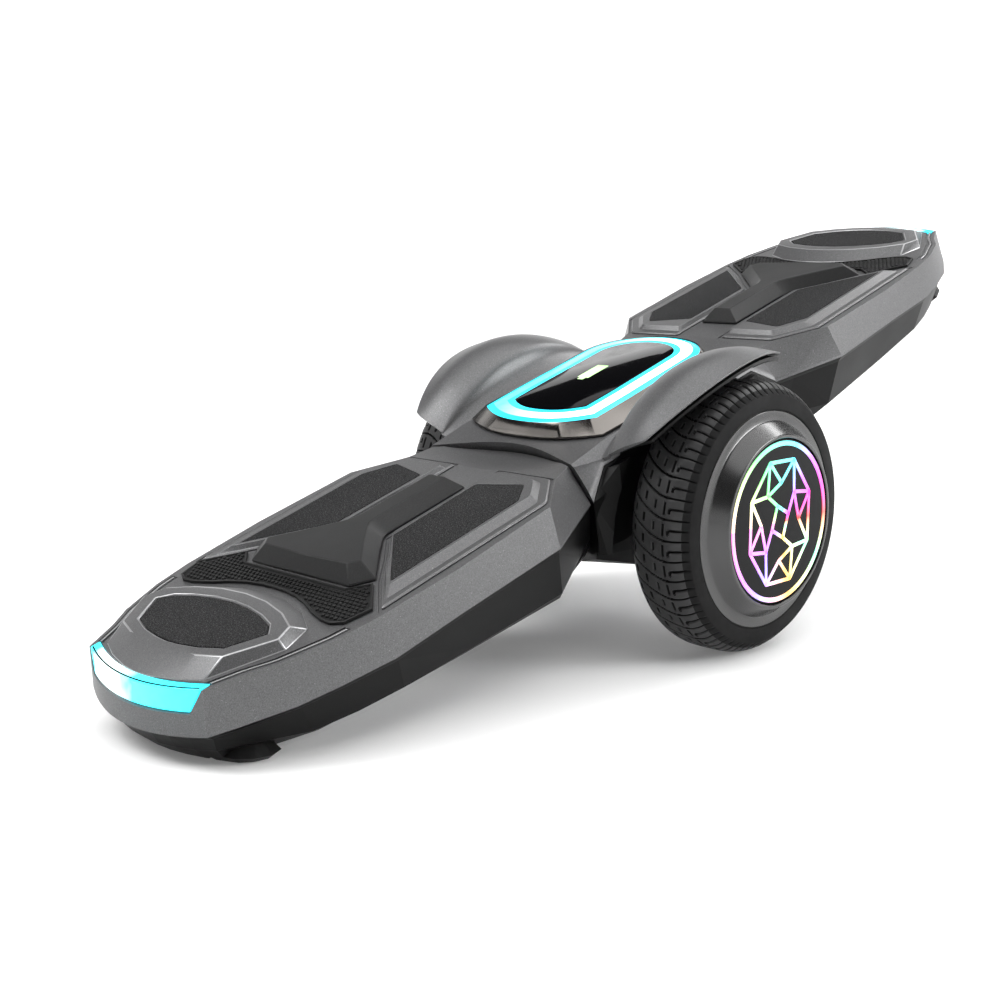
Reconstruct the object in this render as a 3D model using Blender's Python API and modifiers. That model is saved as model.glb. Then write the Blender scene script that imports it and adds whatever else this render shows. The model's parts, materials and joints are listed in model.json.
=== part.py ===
"""Self balancing hoverboard: one skate-style board over two central wheels.

The board is modelled level, in metres, about the wheel axle (X forward, Y to the left
wheel, Z up), and then stands the way it is left on a floor: nose down on the rubber
foot under the front deck. The two decks roll about the board's own long axis.
"""
import math

import bmesh
import bpy
from mathutils import Vector

MM = 0.001
GAP = 0.35 * MM                      # clearance left between neighbouring pieces

# ---- stance -------------------------------------------------------------------------
TYRE_R = 84.0 * MM                   # 6.5 inch wheel
STANCE_X = -14.992 * MM              # axle position, so that the box centre is x = 0
NOSE_DOWN = math.radians(18.0)

# ---- decks --------------------------------------------------------------------------
ROLL_Z = 33.0 * MM                   # height of the decks' roll axis over the axle
DECK_TOP = 71.0 * MM
PARTING = 48.2                       # mm, joint between the grey upper shell and the black base
DECK_WALL = 4.5                      # mm
NOSE_FROM = 330.0 * MM               # the shell is thicker in front of this, round the nose light
LIGHT_ROOM = 6.0                     # mm
CHIN_LIFT = 0.6                      # mm between the chin of the base shell and the floor
PAD_THICK = 1.4 * MM
FRAME_TOP = 74.6 * MM
BOSS_TOP = 77.6 * MM
POCKET_LIP = 0.5                     # mm left round a pad in its pocket
SPINE_BASE = DECK_TOP + 1.4 * MM
SPINE_TOP = 80.5 * MM
SKY = 90.0 * MM                      # above everything on a deck
SEAM_GAP = 1.8 * MM
SEAM_PROFILE = ((0, 68.0), (20, 72.0), (36, 79.0), (47, 84.3), (58, 89.8), (68, 94.2), (110, 111.0))
SEAM_FAR = (-60.0 * MM, 480.0 * MM)  # ends of the seam solids

# ---- pivot --------------------------------------------------------------------------
TUBE_R = 9.0 * MM                    # steel tube that carries both decks
TUBE_WALL = 2.5 * MM
TUBE_END = 125.0 * MM
BUSH_R = TUBE_R + 3.2 * MM
BUSH_START = 74.0 * MM
BUSH_END = 106.0 * MM
NUT_START = 115.0 * MM
NUT_END = 123.0 * MM
NUT_R = 13.0 * MM

# ---- centre body --------------------------------------------------------------------
ARCH_R = 88.6 * MM                   # wheel arch, clear of the tyre
ARCH_Y = 62.6 * MM                   # inner wall of the wheel arch
PLATE_TOP = 74.0 * MM
WING_THICK = 2.6 * MM
LINER_THICK = 2.2 * MM
AXLE_R = 7.0 * MM
AXLE_ENDS = (20.0 * MM, 112.0 * MM)
ROUND = 48                           # steps round a wheel


def clear_scene():
    for old in list(bpy.data.objects):
        bpy.data.objects.remove(old, do_unlink=True)


def new_collection(name):
    made = bpy.data.collections.new(name)
    bpy.context.scene.collection.children.link(made)
    return made


def material(name, colour, roughness, metallic=0.0):
    made = bpy.data.materials.new(name)
    made.use_nodes = True
    shader = made.node_tree.nodes["Principled BSDF"]
    shader.inputs["Base Color"].default_value = (*colour, 1.0)
    shader.inputs["Roughness"].default_value = roughness
    shader.inputs["Metallic"].default_value = metallic
    return made


clear_scene()
PARTS = new_collection("self_balancing_hoverboard")
CUTTERS = new_collection("cutters")

GREY = material("satin_grey", (0.27, 0.27, 0.28), 0.38, 0.3)
BLACK = material("black_plastic", (0.016, 0.016, 0.017), 0.5)
SPINE = material("dark_plastic", (0.045, 0.045, 0.047), 0.55)
GRIP = material("grip_sheet", (0.06, 0.06, 0.06), 0.95)
RUBBER = material("rubber", (0.012, 0.012, 0.012), 0.8)
TYRE = material("tyre_rubber", (0.02, 0.02, 0.021), 0.75)
CHROME = material("dark_chrome", (0.2, 0.19, 0.18), 0.12, 1.0)
GLASS = material("black_glass", (0.004, 0.004, 0.005), 0.05)
CYAN = material("cyan_light", (0.1, 0.85, 0.95), 0.2)
STEEL = material("steel", (0.55, 0.55, 0.56), 0.3, 1.0)
ALLOY = material("cast_alloy", (0.6, 0.6, 0.61), 0.45, 1.0)
HUB = material("hub_grey", (0.09, 0.09, 0.095), 0.35, 0.2)
COPPER = material("copper", (0.72, 0.35, 0.2), 0.35, 1.0)
BOARD = material("circuit_board", (0.02, 0.12, 0.05), 0.5)
CELL = material("battery_wrap", (0.05, 0.09, 0.3), 0.4)


def empty(name, parent=None, location=(0, 0, 0), rotation=(0, 0, 0)):
    made = bpy.data.objects.new(name, None)
    PARTS.objects.link(made)
    made.parent = parent
    made.location = location
    made.rotation_euler = rotation
    return made


def add(name, bm, finish, parent, drop=0.0, cutter=False):
    """Turn a bmesh into a named object under parent; drop lowers it to its own axis."""
    bmesh.ops.recalc_face_normals(bm, faces=bm.faces)
    mesh = bpy.data.meshes.new(name)
    bm.to_mesh(mesh)
    bm.free()
    made = bpy.data.objects.new(name, mesh)
    made.parent = parent
    made.location = (0, 0, -drop)
    (CUTTERS if cutter else PARTS).objects.link(made)
    if cutter:
        made.hide_render = True
        made.display_type = "WIRE"
    else:
        mesh.materials.append(finish)
    return made


def boolean(target, tool, operation):
    step = target.modifiers.new(tool.name, "BOOLEAN")
    step.operation = operation
    step.object = tool
    step.solver = "EXACT"


def cut(target, *tools):
    for tool in tools:
        boolean(target, tool, "DIFFERENCE")


def join(target, *tools):
    for tool in tools:
        boolean(target, tool, "UNION")


def cap_in_strips(bm, ring):
    """Close a loop that is its own mirror image with strips from side to side."""
    count = len(ring)
    for i in range((count - 1) // 2):
        corners = (ring[i], ring[i + 1], ring[count - 2 - i], ring[count - 1 - i])
        bm.faces.new(list(dict.fromkeys(corners)))


def loft(sections, strips=False):
    """Skin closed loops that have the same number of points, and cap both ends."""
    bm = bmesh.new()
    rings = [[bm.verts.new(point) for point in section] for section in sections]
    count = len(rings[0])
    for low, high in zip(rings, rings[1:]):
        for i in range(count):
            j = (i + 1) % count
            bm.faces.new((low[i], low[j], high[j], high[i]))
    for end in (rings[0], rings[-1]):
        if strips:
            cap_in_strips(bm, end)
        else:
            bm.faces.new(end)
    return bm


def hull(points):
    bm = bmesh.new()
    for point in points:
        bm.verts.new(point)
    done = bmesh.ops.convex_hull(bm, input=bm.verts)
    spare = [v for v in done["geom_interior"] + done["geom_unused"] if isinstance(v, bmesh.types.BMVert)]
    bmesh.ops.delete(bm, geom=list(set(spare)), context="VERTS")
    return bm


def box(low, high):
    """Axis-aligned box between two corners, in millimetres."""
    bm = bmesh.new()
    bmesh.ops.create_cube(bm, size=1.0)
    low = Vector(low) * MM
    high = Vector(high) * MM
    for vert in bm.verts:
        vert.co = [(l + h) / 2 + v * (h - l) for l, h, v in zip(low, high, vert.co)]
    return bm


def rod(radius, start, end, steps=32):
    """Cylinder of one radius between two points, in metres."""
    bm = bmesh.new()
    start = Vector(start)
    end = Vector(end)
    length = (end - start).length
    bmesh.ops.create_cone(bm, cap_ends=True, segments=steps, radius1=radius, radius2=radius, depth=length)
    turn = Vector((0, 0, 1)).rotation_difference(end - start).to_matrix().to_4x4()
    turn.translation = (start + end) / 2
    bmesh.ops.transform(bm, matrix=turn, verts=bm.verts)
    return bm


def mirrored(half):
    """Close a half outline (y >= 0, ends on y = 0) with its mirror image."""
    back = [(x, -y, z) for x, y, z in reversed(half) if y > 1e-9]
    return list(half) + back


def turned(name, profile, finish, parent, steps=ROUND, cutter=False, side=1):
    """Ring turned about the Y axis; the profile is (radius, y) in mm, outer side first, y falling."""
    mesh = bpy.data.meshes.new(name)
    points = [(radius * MM, 0, -y * MM) for radius, y in reversed(profile)]
    edges = [(i, (i + 1) % len(points)) for i in range(len(points))]
    mesh.from_pydata(points, edges, [])
    made = bpy.data.objects.new(name, mesh)
    screw = made.modifiers.new("turn", "SCREW")
    screw.axis = "Z"
    screw.steps = steps
    screw.render_steps = steps
    screw.use_merge_vertices = True
    screw.merge_threshold = 0.00001
    screw.use_smooth_shade = True
    made.parent = parent
    made.rotation_euler = (math.radians(90 * side), 0, 0)
    (CUTTERS if cutter else PARTS).objects.link(made)
    if cutter:
        made.hide_render = True
        made.display_type = "WIRE"
    else:
        mesh.materials.append(finish)
    return made


def revolved_x(profile, steps=ROUND):
    """Solid of revolution about the X axis; profile is (radius, x) in metres, ends on the axis."""
    bm = bmesh.new()
    line = [bm.verts.new((x, radius, 0)) for radius, x in profile]
    edges = [bm.edges.new(pair) for pair in zip(line, line[1:])]
    full = 2 * math.pi
    bmesh.ops.spin(bm, geom=[*line, *edges], axis=(1, 0, 0), angle=full, steps=steps, use_merge=True)
    bmesh.ops.remove_doubles(bm, verts=bm.verts, dist=1e-7)
    return bm


def seam_solid(shift, toward_centre):
    """The solid on one side of the seam between a deck and the centre body."""
    far = SEAM_FAR[0] if toward_centre else SEAM_FAR[1]
    edge = [(radius * MM, x * MM + shift) for radius, x in SEAM_PROFILE]
    bm = revolved_x([*edge, (edge[-1][0], far), (0, far)])
    bmesh.ops.translate(bm, vec=(0, 0, ROLL_Z), verts=bm.verts)
    return bm


# ---- outlines of a deck, from the seam end to the nose (half plan, mm) ----------------
def nose_arc(apex, drop, half_width, z, steps=4):
    points = []
    for k in range(steps, -1, -1):
        y = half_width * k / steps
        points.append((apex - drop * (y / half_width) ** 2, y, z))
    return points


def to_metres(points):
    return [(x * MM, y * MM, z * MM) for x, y, z in points]


TOP_SIDE = ((60, 48), (112, 63), (142, 86), (215, 88), (269, 85), (294, 80.5), (320, 71), (334, 62))
BAND_SIDE = ((60, 56), (112, 77), (146, 91), (223, 89), (268, 89), (298, 82), (321, 75), (347, 61))
EDGE_SIDE = (
    (60, 53.5), (112, 74.5), (145.5, 88.5), (222, 86.5), (266, 86.5), (295, 79.5), (318, 72.5), (343, 59),
)
CHINE = (
    (60, 50, 28), (108, 64, 19), (141, 79, 15.5), (212, 79, 20.5), (262, 79, 25), (288, 73, 25), (312, 66, 26),
    (333, 57, 31),
)
KEEL = (
    (60, 46, 14), (104, 52, 5), (127, 61, 1.5), (205, 57, 6), (252, 57, 11), (276, 53, 13), (300, 50, 14.5),
    (322, 46, 19),
)


def deck_top_outline(z, inset=0.0):
    side = [(x, y - inset, z) for x, y in TOP_SIDE]
    return to_metres(side + nose_arc(365 - inset, 11, 53 - inset * 0.6, z))


def deck_band_outline(z, inset=0.0):
    side = [(x, y - inset, z) for x, y in BAND_SIDE]
    return to_metres(side + nose_arc(372 - inset, 12, 53 - inset * 0.6, z))


def deck_edge_outline(z, inset=0.0):
    side = [(x, y - inset, z) for x, y in EDGE_SIDE]
    return to_metres(side + nose_arc(368.5 - inset, 12, 51.5 - inset * 0.6, z))


def deck_chine_outline(inset=0.0, lift=0.0):
    side = [(x, y - inset, z + lift) for x, y, z in CHINE]
    return to_metres(side + nose_arc(366 - inset, 10.5, 49 - inset * 0.6, 37 + lift))


def deck_keel_outline(inset=0.0, lift=0.0):
    side = [(x, y - inset, z + lift) for x, y, z in KEEL]
    chin = nose_arc(361 - inset, 11, 44 - inset * 0.6, 0)
    chin = [(x, y, floor_height(x * MM) / MM + CHIN_LIFT + lift) for x, y, _ in chin]
    return to_metres(side + chin)


def floor_height(x):
    """Level-board height of the floor under a point x (m) of the standing board."""
    return (math.sin(NOSE_DOWN) * x - TYRE_R) / math.cos(NOSE_DOWN)


def slab(outline, z_low, z_high, inset_top=0.0):
    """Plate from an (x, y) outline in mm; its top is drawn in by inset_top about its middle."""
    mid = Vector((sum(p[0] for p in outline), sum(p[1] for p in outline))) / len(outline)
    reach = max((Vector(p) - mid).length for p in outline)
    shrink = 1 - inset_top / reach
    low = [(x * MM, y * MM, z_low) for x, y in outline]
    inner = [mid + (Vector(p) - mid) * shrink for p in outline]
    high = [(p.x * MM, p.y * MM, z_high) for p in inner]
    return loft([low, high])


def whole(half):
    """Plan outline mirrored about y = 0."""
    return list(half) + [(x, -y) for x, y in reversed(half) if y > 1e-9]


FRAME_OUTLINE = ((113, 19), (113, 60), (139, 79), (262, 78.5), (241, 55.5), (220, 36.5), (203, 19), (150, 19))
PAD_OUTLINE = ((137, 24), (129, 55), (147, 70), (244, 69), (203, 25))
MAT_OUTLINE = (
    (256, 0), (256, 44.5), (246, 55), (265.5, 77), (282, 73), (285, 62), (283, 50), (274, 27), (270.5, 0),
)
SPINE_LOW = ((138, 0), (138, 15), (199, 15), (206, 18), (221, 32), (242, 52.5), (253, 43), (253, 0))
SPINE_HIGH = ((144, 0), (144, 6.5), (201, 6.5), (210, 12), (224, 25), (240, 42), (245, 39), (247, 0))
BOSS_LOW = ((359, 0), (357, 20), (348, 45), (311, 63), (292, 57), (279, 30), (275, 0))
BOSS_HIGH = ((343.5, 0), (342, 20), (335, 46), (312, 61), (301, 56), (290, 30), (287, 0))
NOSE_PAD = ((337, 0), (335.5, 16), (329, 39), (311, 50), (304, 42), (298, 22), (296, 0))


def level(outline, z):
    return [(x * MM, y * MM, z) for x, y in whole(outline)]


def grow(outline, by):
    """Push each point of a plan outline away from its middle by about the given mm."""
    mid = Vector((sum(p[0] for p in outline), sum(p[1] for p in outline))) / len(outline)
    moved = []
    for point in outline:
        arm = Vector(point) - mid
        moved.append(tuple(mid + arm * (1 + by / arm.length)))
    return moved


LENS_LOW = 60.0                      # mm, lower edge of the nose light
LENS_TOP = 71.2
LENS_HALF = (44.5, 51.5)             # half width at the lower and at the upper edge
LENS_DEPTH = 6.6
LENS_STEPS = 5


def nose_light(front_drop, back_drop, margin, top_margin=0.0):
    """Bar that follows the nose and laps over its top edge; it is shorter below than above."""
    bars = []
    for k in range(-LENS_STEPS, LENS_STEPS + 1):
        low_y = (LENS_HALF[0] + margin) * k / LENS_STEPS
        top_y = (LENS_HALF[1] + margin + top_margin) * k / LENS_STEPS
        top_x = 365.2 - 11 * (top_y / 53) ** 2
        low_x = 368.2 - 11 * (low_y / 53) ** 2
        low, high = LENS_LOW - margin, LENS_TOP + top_margin
        quad = [(low_x - front_drop, low_y, low), (top_x - front_drop, top_y, high)]
        quad += [(top_x - back_drop, top_y, high), (low_x - back_drop - 3, low_y, low)]
        bars.append(to_metres(quad))
    return loft(bars)


def build_deck(side, pivot):
    """One deck; the pivot empty sits on the roll axis and turns the rear deck about."""

    def piece(name, bm, finish):
        return add(f"{side}_{name}", bm, finish, pivot, ROLL_Z)

    def tool(name, bm):
        return add(f"{side}_{name}_cutter", bm, None, pivot, ROLL_Z, cutter=True)

    seam = tool("seam", seam_solid(0, True))

    band = [mirrored(deck_band_outline(PARTING)), mirrored(deck_top_outline(DECK_TOP / MM))]
    upper = piece("deck_upper_shell", loft(band), GREY)
    cut(upper, seam)
    cavity = [deck_band_outline(40, DECK_WALL)[1:], deck_top_outline(67.6, DECK_WALL)[1:]]
    room = LIGHT_ROOM * MM
    cavity = [[(x if x < NOSE_FROM else x - room, y, z) for x, y, z in ring] for ring in cavity]
    cut(upper, tool("upper_cavity", loft([mirrored(ring) for ring in cavity], strips=True)))
    boss = [level(BOSS_LOW, 69.5 * MM), level(BOSS_LOW, 71.1 * MM), level(BOSS_HIGH, BOSS_TOP)]
    join(upper, tool("boss", loft(boss)))
    for hand, sign in (("left", 1), ("right", -1)):
        outline = [(x, sign * y) for x, y in FRAME_OUTLINE]
        join(upper, tool(f"frame_{hand}", slab(outline, 70 * MM, FRAME_TOP, 2.5)))
    for hand, sign in (("left", 1), ("right", -1)):
        outline = [(x, sign * y) for x, y in PAD_OUTLINE]
        floor = FRAME_TOP - 1.2 * MM
        cut(upper, tool(f"pad_{hand}", slab(grow(outline, POCKET_LIP), floor, SKY)))
        piece(f"grip_pad_{hand}", slab(outline, floor + GAP, floor + GAP + PAD_THICK, 0.3), GRIP)
    floor = BOSS_TOP - 1.4 * MM
    cut(upper, tool("nose_pad", slab(grow(whole(NOSE_PAD), POCKET_LIP), floor, SKY)))
    piece("nose_pad", slab(whole(NOSE_PAD), floor + GAP, floor + GAP + PAD_THICK, 0.3), GRIP)
    cut(upper, tool("nose_light", nose_light(-9.0, LENS_DEPTH + 0.4, 0.4, 1.2)))
    piece("nose_light_lens", nose_light(0.6, LENS_DEPTH, 0.0), CYAN)

    mat = [level(MAT_OUTLINE, DECK_TOP + GAP), level(MAT_OUTLINE, DECK_TOP + 1.9 * MM)]
    piece("rubber_mat", loft(mat), RUBBER)
    spine = [level(SPINE_LOW, DECK_TOP + GAP), level(SPINE_LOW, SPINE_BASE), level(SPINE_HIGH, SPINE_TOP)]
    piece("deck_spine", loft(spine), SPINE)

    rings = [deck_keel_outline(), deck_chine_outline(), deck_edge_outline(45), deck_band_outline(47.8, 0.6)]
    lower = piece("deck_base_shell", loft([mirrored(ring) for ring in rings], strips=True), BLACK)
    cut(lower, seam)
    rings = [deck_keel_outline(7, 4.5), deck_chine_outline(7.5, 3.5), deck_edge_outline(60, 6)]
    cut(lower, tool("base_cavity", loft([mirrored(ring[1:]) for ring in rings], strips=True)))
    bore_ends = ((60 * MM, 0, ROLL_Z), (BUSH_END + 8 * MM, 0, ROLL_Z))
    cut(lower, tool("bush_seat", rod(BUSH_R + GAP, *bore_ends, 26)))

    bush = piece("pivot_bush", rod(BUSH_R, (BUSH_START, 0, ROLL_Z), (BUSH_END, 0, ROLL_Z), 24), RUBBER)
    cut(bush, tool("bush_bore", rod(TUBE_R + GAP, *bore_ends, 22)))
    return lower


# Outlines of the rubber foot (half plan, mm): on the floor, at its widest, and at its root.
FOOT_TREAD = ((352, 38), (347, 49), (341, 53.5), (334, 54.5), (327.5, 51))
FOOT_WIDEST = ((353.5, 39), (349.5, 51), (342.5, 57.5), (334, 59.5), (326, 55.5))
FOOT_ROOT = ((350, 37), (346, 45), (341, 49), (334, 50), (329, 47))
FOOT_BULGE = 3.6                     # mm from the floor to the widest outline
FOOT_TOP = 33.0


def both_sides(half, height):
    """Points of a half outline and its mirror image; height gives z (mm) from x (mm)."""
    return to_metres([(x, side * y, height(x)) for x, y in half for side in (1, -1)])


def build_feet(side, pivot, lower):
    """Rubber foot under a nose: two pads joined by a strip let into the base shell."""

    def floor(x):
        return floor_height(x * MM) / MM

    tread = both_sides(FOOT_TREAD, floor)
    widest = both_sides(FOOT_WIDEST, lambda x: floor(x) + FOOT_BULGE)
    root = both_sides(FOOT_ROOT, lambda x: FOOT_TOP)
    add(f"{side}_foot_bumper", hull(tread + widest + root), RUBBER, pivot, ROLL_Z)
    wide = [(x + shift, y + POCKET_LIP) for x, y in FOOT_WIDEST for shift in (-POCKET_LIP, POCKET_LIP)]
    seat = both_sides(wide, lambda x: floor(x) - 6) + both_sides(wide, lambda x: floor(x) + FOOT_BULGE + 0.6)
    deep = [(x + shift, y + POCKET_LIP) for x, y in FOOT_ROOT for shift in (-POCKET_LIP, POCKET_LIP)]
    seat += both_sides(deep, lambda x: FOOT_TOP + POCKET_LIP)
    cut(lower, add(f"{side}_foot_seat_cutter", hull(seat), None, pivot, ROLL_Z, cutter=True))


# ---- centre body ----------------------------------------------------------------------
def centre_core():
    corners = [(100, 59.5, 71.2), (100, 72.5, 50), (100, 62, 14), (100, 40, 9), (60, 59, 74), (76, 67, 68)]
    corners += [(58, 60, -1), (34, 52, -26), (70, 50, 0)]
    points = [(x * sx, y * sy, z) for x, y, z in corners for sx in (1, -1) for sy in (1, -1)]
    return hull(to_metres(points))


def arch_wedges():
    """Walls in front of and behind each wheel, under the ends of the fender wings."""
    corner = [(93, 69, 49), (76, 66, 61.5), (71, 76, 64), (94, 62, 14), (90, 70, 12), (80, 76, 12)]
    corner += [(60, 60, 12), (58, 60, 60), (58, 76, 64)]
    return [to_metres([(x * sx, y * sy, z) for x, y, z in corner]) for sx in (1, -1) for sy in (1, -1)]


def parting_prism(shift):
    """Everything above the joint between the grey cover and the black housing."""
    half = [(0, 64.0), (76, 64.0), (96, 48.6), (130, 48.6)]
    line = [(-x, z) for x, z in reversed(half[1:])] + half
    low = [(x * MM, -0.15, z * MM + shift) for x, z in line] + [(0.13, -0.15, 0.14), (-0.13, -0.15, 0.14)]
    return loft([low, [(x, 0.15, z) for x, _, z in low]])


def blend(keys, t):
    """Smooth value through (t, value) keys."""
    count = len(keys)
    for i in range(count - 1):
        t0, v0 = keys[i]
        t1, v1 = keys[i + 1]
        if t <= t1 or i == count - 2:
            before = keys[i - 1] if i else (2 * t0 - t1, 2 * v0 - v1)
            after = keys[i + 2] if i + 2 < count else (2 * t1 - t0, 2 * v1 - v0)
            m0 = (v1 - before[1]) / (t1 - before[0]) * (t1 - t0)
            m1 = (after[1] - v0) / (after[0] - t0) * (t1 - t0)
            u = (t - t0) / (t1 - t0)
            lead = (2 * u**3 - 3 * u**2 + 1) * v0 + (u**3 - 2 * u**2 + u) * m0
            return lead + (3 * u**2 - 2 * u**3) * v1 + (u**3 - u**2) * m1
    return keys[-1][1]


def wing_point(s, t):
    """Top of a fender wing in mm: s runs -1 (rear) to 1 (front), t from root to lip."""
    x = s * (75 - 3 * t - 3 * t**8)
    bow = s * s
    lip_y = 116 - 18 * bow
    lip_z = 98 - 17 * bow
    root_y = 55 + 11 * bow**2
    root_z = 73.2 - 5 * bow
    ridge_y = 70.5 + 1.5 * bow
    ridge_z = 97 - 26 * abs(s) ** 2.2
    mid_z = (ridge_z + lip_z) / 2 + 4.5 * (1 - bow) + 1.0
    flank_y, mid_y = (root_y + ridge_y) / 2 + 1.5, (ridge_y + lip_y) / 2
    y = blend([(0, root_y), (0.2, flank_y), (0.4, ridge_y), (0.7, mid_y), (1, lip_y)], t)
    z = blend([(0, root_z), (0.2, (root_z + ridge_z) / 2), (0.4, ridge_z), (0.7, mid_z), (1, lip_z)], t)
    return x, y, z


def wing_below(s, t, depth):
    """Point at a depth (mm) under the wing's top, along its normal."""
    step = 0.01
    here = Vector(wing_point(s, t))
    along = Vector(wing_point(s + step, t)) - Vector(wing_point(s - step, t))
    across = Vector(wing_point(s, t + step)) - Vector(wing_point(s, t - step))
    return here - along.cross(across).normalized() * depth


def wing_patch(sign, t_from, depth, across=7, along=14, end=1.0):
    bm = bmesh.new()
    rows = []
    for i in range(along + 1):
        s = end * (-1 + 2 * i / along)
        row = []
        for j in range(across + 1):
            x, y, z = wing_below(s, t_from + (0.995 - t_from) * j / across, depth)
            row.append(bm.verts.new((x * MM, sign * y * MM, z * MM)))
        rows.append(row)
    for low, high in zip(rows, rows[1:]):
        for j in range(across):
            quad = (low[j], high[j], high[j + 1], low[j + 1])
            bm.faces.new(quad if sign > 0 else quad[::-1])
    return bm


def solid_patch(name, bm, thick, finish, parent, cutter=False):
    mesh = bpy.data.meshes.new(name)
    bm.to_mesh(mesh)
    bm.free()
    made = bpy.data.objects.new(name, mesh)
    made.parent = parent
    (CUTTERS if cutter else PARTS).objects.link(made)
    if cutter:
        made.hide_render = True
        made.display_type = "WIRE"
    else:
        mesh.materials.append(finish)
    shell = made.modifiers.new("shell", "SOLIDIFY")
    shell.thickness = thick
    shell.offset = -1.0
    shell.use_even_offset = True
    return made


def build_centre(stance):

    def tool(name, bm):
        return add(f"centre_{name}_cutter", bm, None, stance, 0, cutter=True)

    arches = []
    for hand, sign in (("left", 1), ("right", -1)):
        arch = rod(ARCH_R, (0, sign * ARCH_Y, 0), (0, sign * 0.2, 0), ROUND)
        arches.append(tool(f"arch_{hand}", arch))
    seams = []
    for end, turn in (("front", 0), ("rear", math.pi)):
        seam = tool(f"seam_{end}", seam_solid(-SEAM_GAP, False))
        seam.rotation_euler = (0, 0, turn)
        seams.append(seam)

    cover = add("centre_top_cover", centre_core(), GREY, stance)
    boolean(cover, tool("above", parting_prism(GAP / 2)), "INTERSECT")
    cut(cover, *arches)
    cut(cover, *seams)
    cut(cover, tool("cover_cavity", box((-64, -54, 40), (64, 54, 70.5))))
    for hand, sign in (("left", 1), ("right", -1)):
        wing = solid_patch(f"wing_{hand}_tool", wing_patch(sign, 0, 0), WING_THICK, None, stance, cutter=True)
        join(cover, wing)
    cut(cover, tool("wire_hole", box((-8, -8, 68), (8, 8, 80))))

    housing = add("centre_lower_housing", centre_core(), BLACK, stance)
    cut(housing, tool("below", parting_prism(-GAP / 2)))
    for index, points in enumerate(arch_wedges()):
        join(housing, tool(f"wedge_{index}", hull(points)))
    cut(housing, *arches)
    cut(housing, *seams)
    inside = [(62, 57, 100), (62, 57, 14), (51, 55.5, 2), (60, 48, 4), (29, 47, -22.8)]
    inside = [(x * sx, y * sy, z) for x, y, z in inside for sx in (1, -1) for sy in (1, -1)]
    cut(housing, tool("housing_cavity", hull(to_metres(inside))))
    cut(housing, tool("axle_slot", rod(AXLE_R + 3 * MM, (0, -0.08, 0), (0, 0.08, 0))))
    cut(housing, tool("tube_hole", rod(TUBE_R + 1.1 * MM, (-0.1, 0, ROLL_Z), (0.1, 0, ROLL_Z), 20)))

    for hand, sign in (("left", 1), ("right", -1)):
        liner = wing_patch(sign, 0.46, WING_THICK / MM + 0.7, across=5, end=0.97)
        solid_patch(f"fender_liner_{hand}", liner, LINER_THICK, BLACK, stance)

    frame = add("chassis_frame", box((-27, -50, -11), (27, 50, 12)), ALLOY, stance)
    join(frame, tool("tower", box((-36, -17, 10), (36, 17, 53))))
    cut(frame, tool("frame_axles", rod(AXLE_R + GAP, (0, -0.06, 0), (0, 0.06, 0))))
    cut(frame, tool("frame_tube", rod(TUBE_R + GAP, (-0.06, 0, ROLL_Z), (0.06, 0, ROLL_Z))))
    clamp = add("axle_clamp", box((-24, -44, -13.6), (24, 44, -11.4)), STEEL, stance)
    cut(clamp, tool("clamp_slot", box((-6, -60, -12.4), (6, 60, -9))))
    tube = add("pivot_tube", rod(TUBE_R, (-TUBE_END, 0, ROLL_Z), (TUBE_END, 0, ROLL_Z), 24), STEEL, stance)
    cut(tube, tool("tube_bore", rod(TUBE_R - TUBE_WALL, (-0.13, 0, ROLL_Z), (0.13, 0, ROLL_Z), 24)))
    for end, sign in (("front", 1), ("rear", -1)):
        nut_ends = ((sign * NUT_START, 0, ROLL_Z), (sign * NUT_END, 0, ROLL_Z))
        nut = add(f"pivot_nut_{end}", rod(NUT_R, *nut_ends, 6), STEEL, stance)
        nut_bore = rod(TUBE_R + GAP, (sign * 0.1, 0, ROLL_Z), (sign * 0.14, 0, ROLL_Z), 20)
        cut(nut, tool(f"nut_bore_{end}", nut_bore))
    board = add("main_control_board", box((-24, -48, 55), (24, 48, 57)), BOARD, stance)
    for hand, sign in (("left", 1), ("right", -1)):
        inner, outer = ((0, sign * y, 0) for y in AXLE_ENDS)
        add(f"axle_{hand}", rod(AXLE_R, inner, outer), STEEL, stance)
    return board


# ---- display -----------------------------------------------------------------------------
def oblong(front, corner, side, rear_corner, rear, rear_steps=5):
    """Half outline of the display: bowed front, straight sides, round rear (mm)."""
    fx, fy = corner
    bow = front - fx
    points = [(front, 0), (front - bow * 0.2, fy * 0.45), (front - bow * 0.62, fy * 0.8), (fx, fy), side]
    rx, ry = rear_corner
    for k in range(rear_steps + 1):
        angle = math.pi / 2 * k / rear_steps
        points.append((rx - (rx - rear) * math.sin(angle), ry * math.cos(angle)))
    points[-1] = (rear, 0)
    return points


RING_OUT = oblong(67.5, (52, 47), (20, 47.5), (-46, 46.5), -79)
RING_IN = oblong(52.5, (42, 30.5), (15, 31), (-43, 30), -65)
BEZEL_LOW = oblong(73, (59, 56), (30, 58), (-48, 52), -82)


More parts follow.
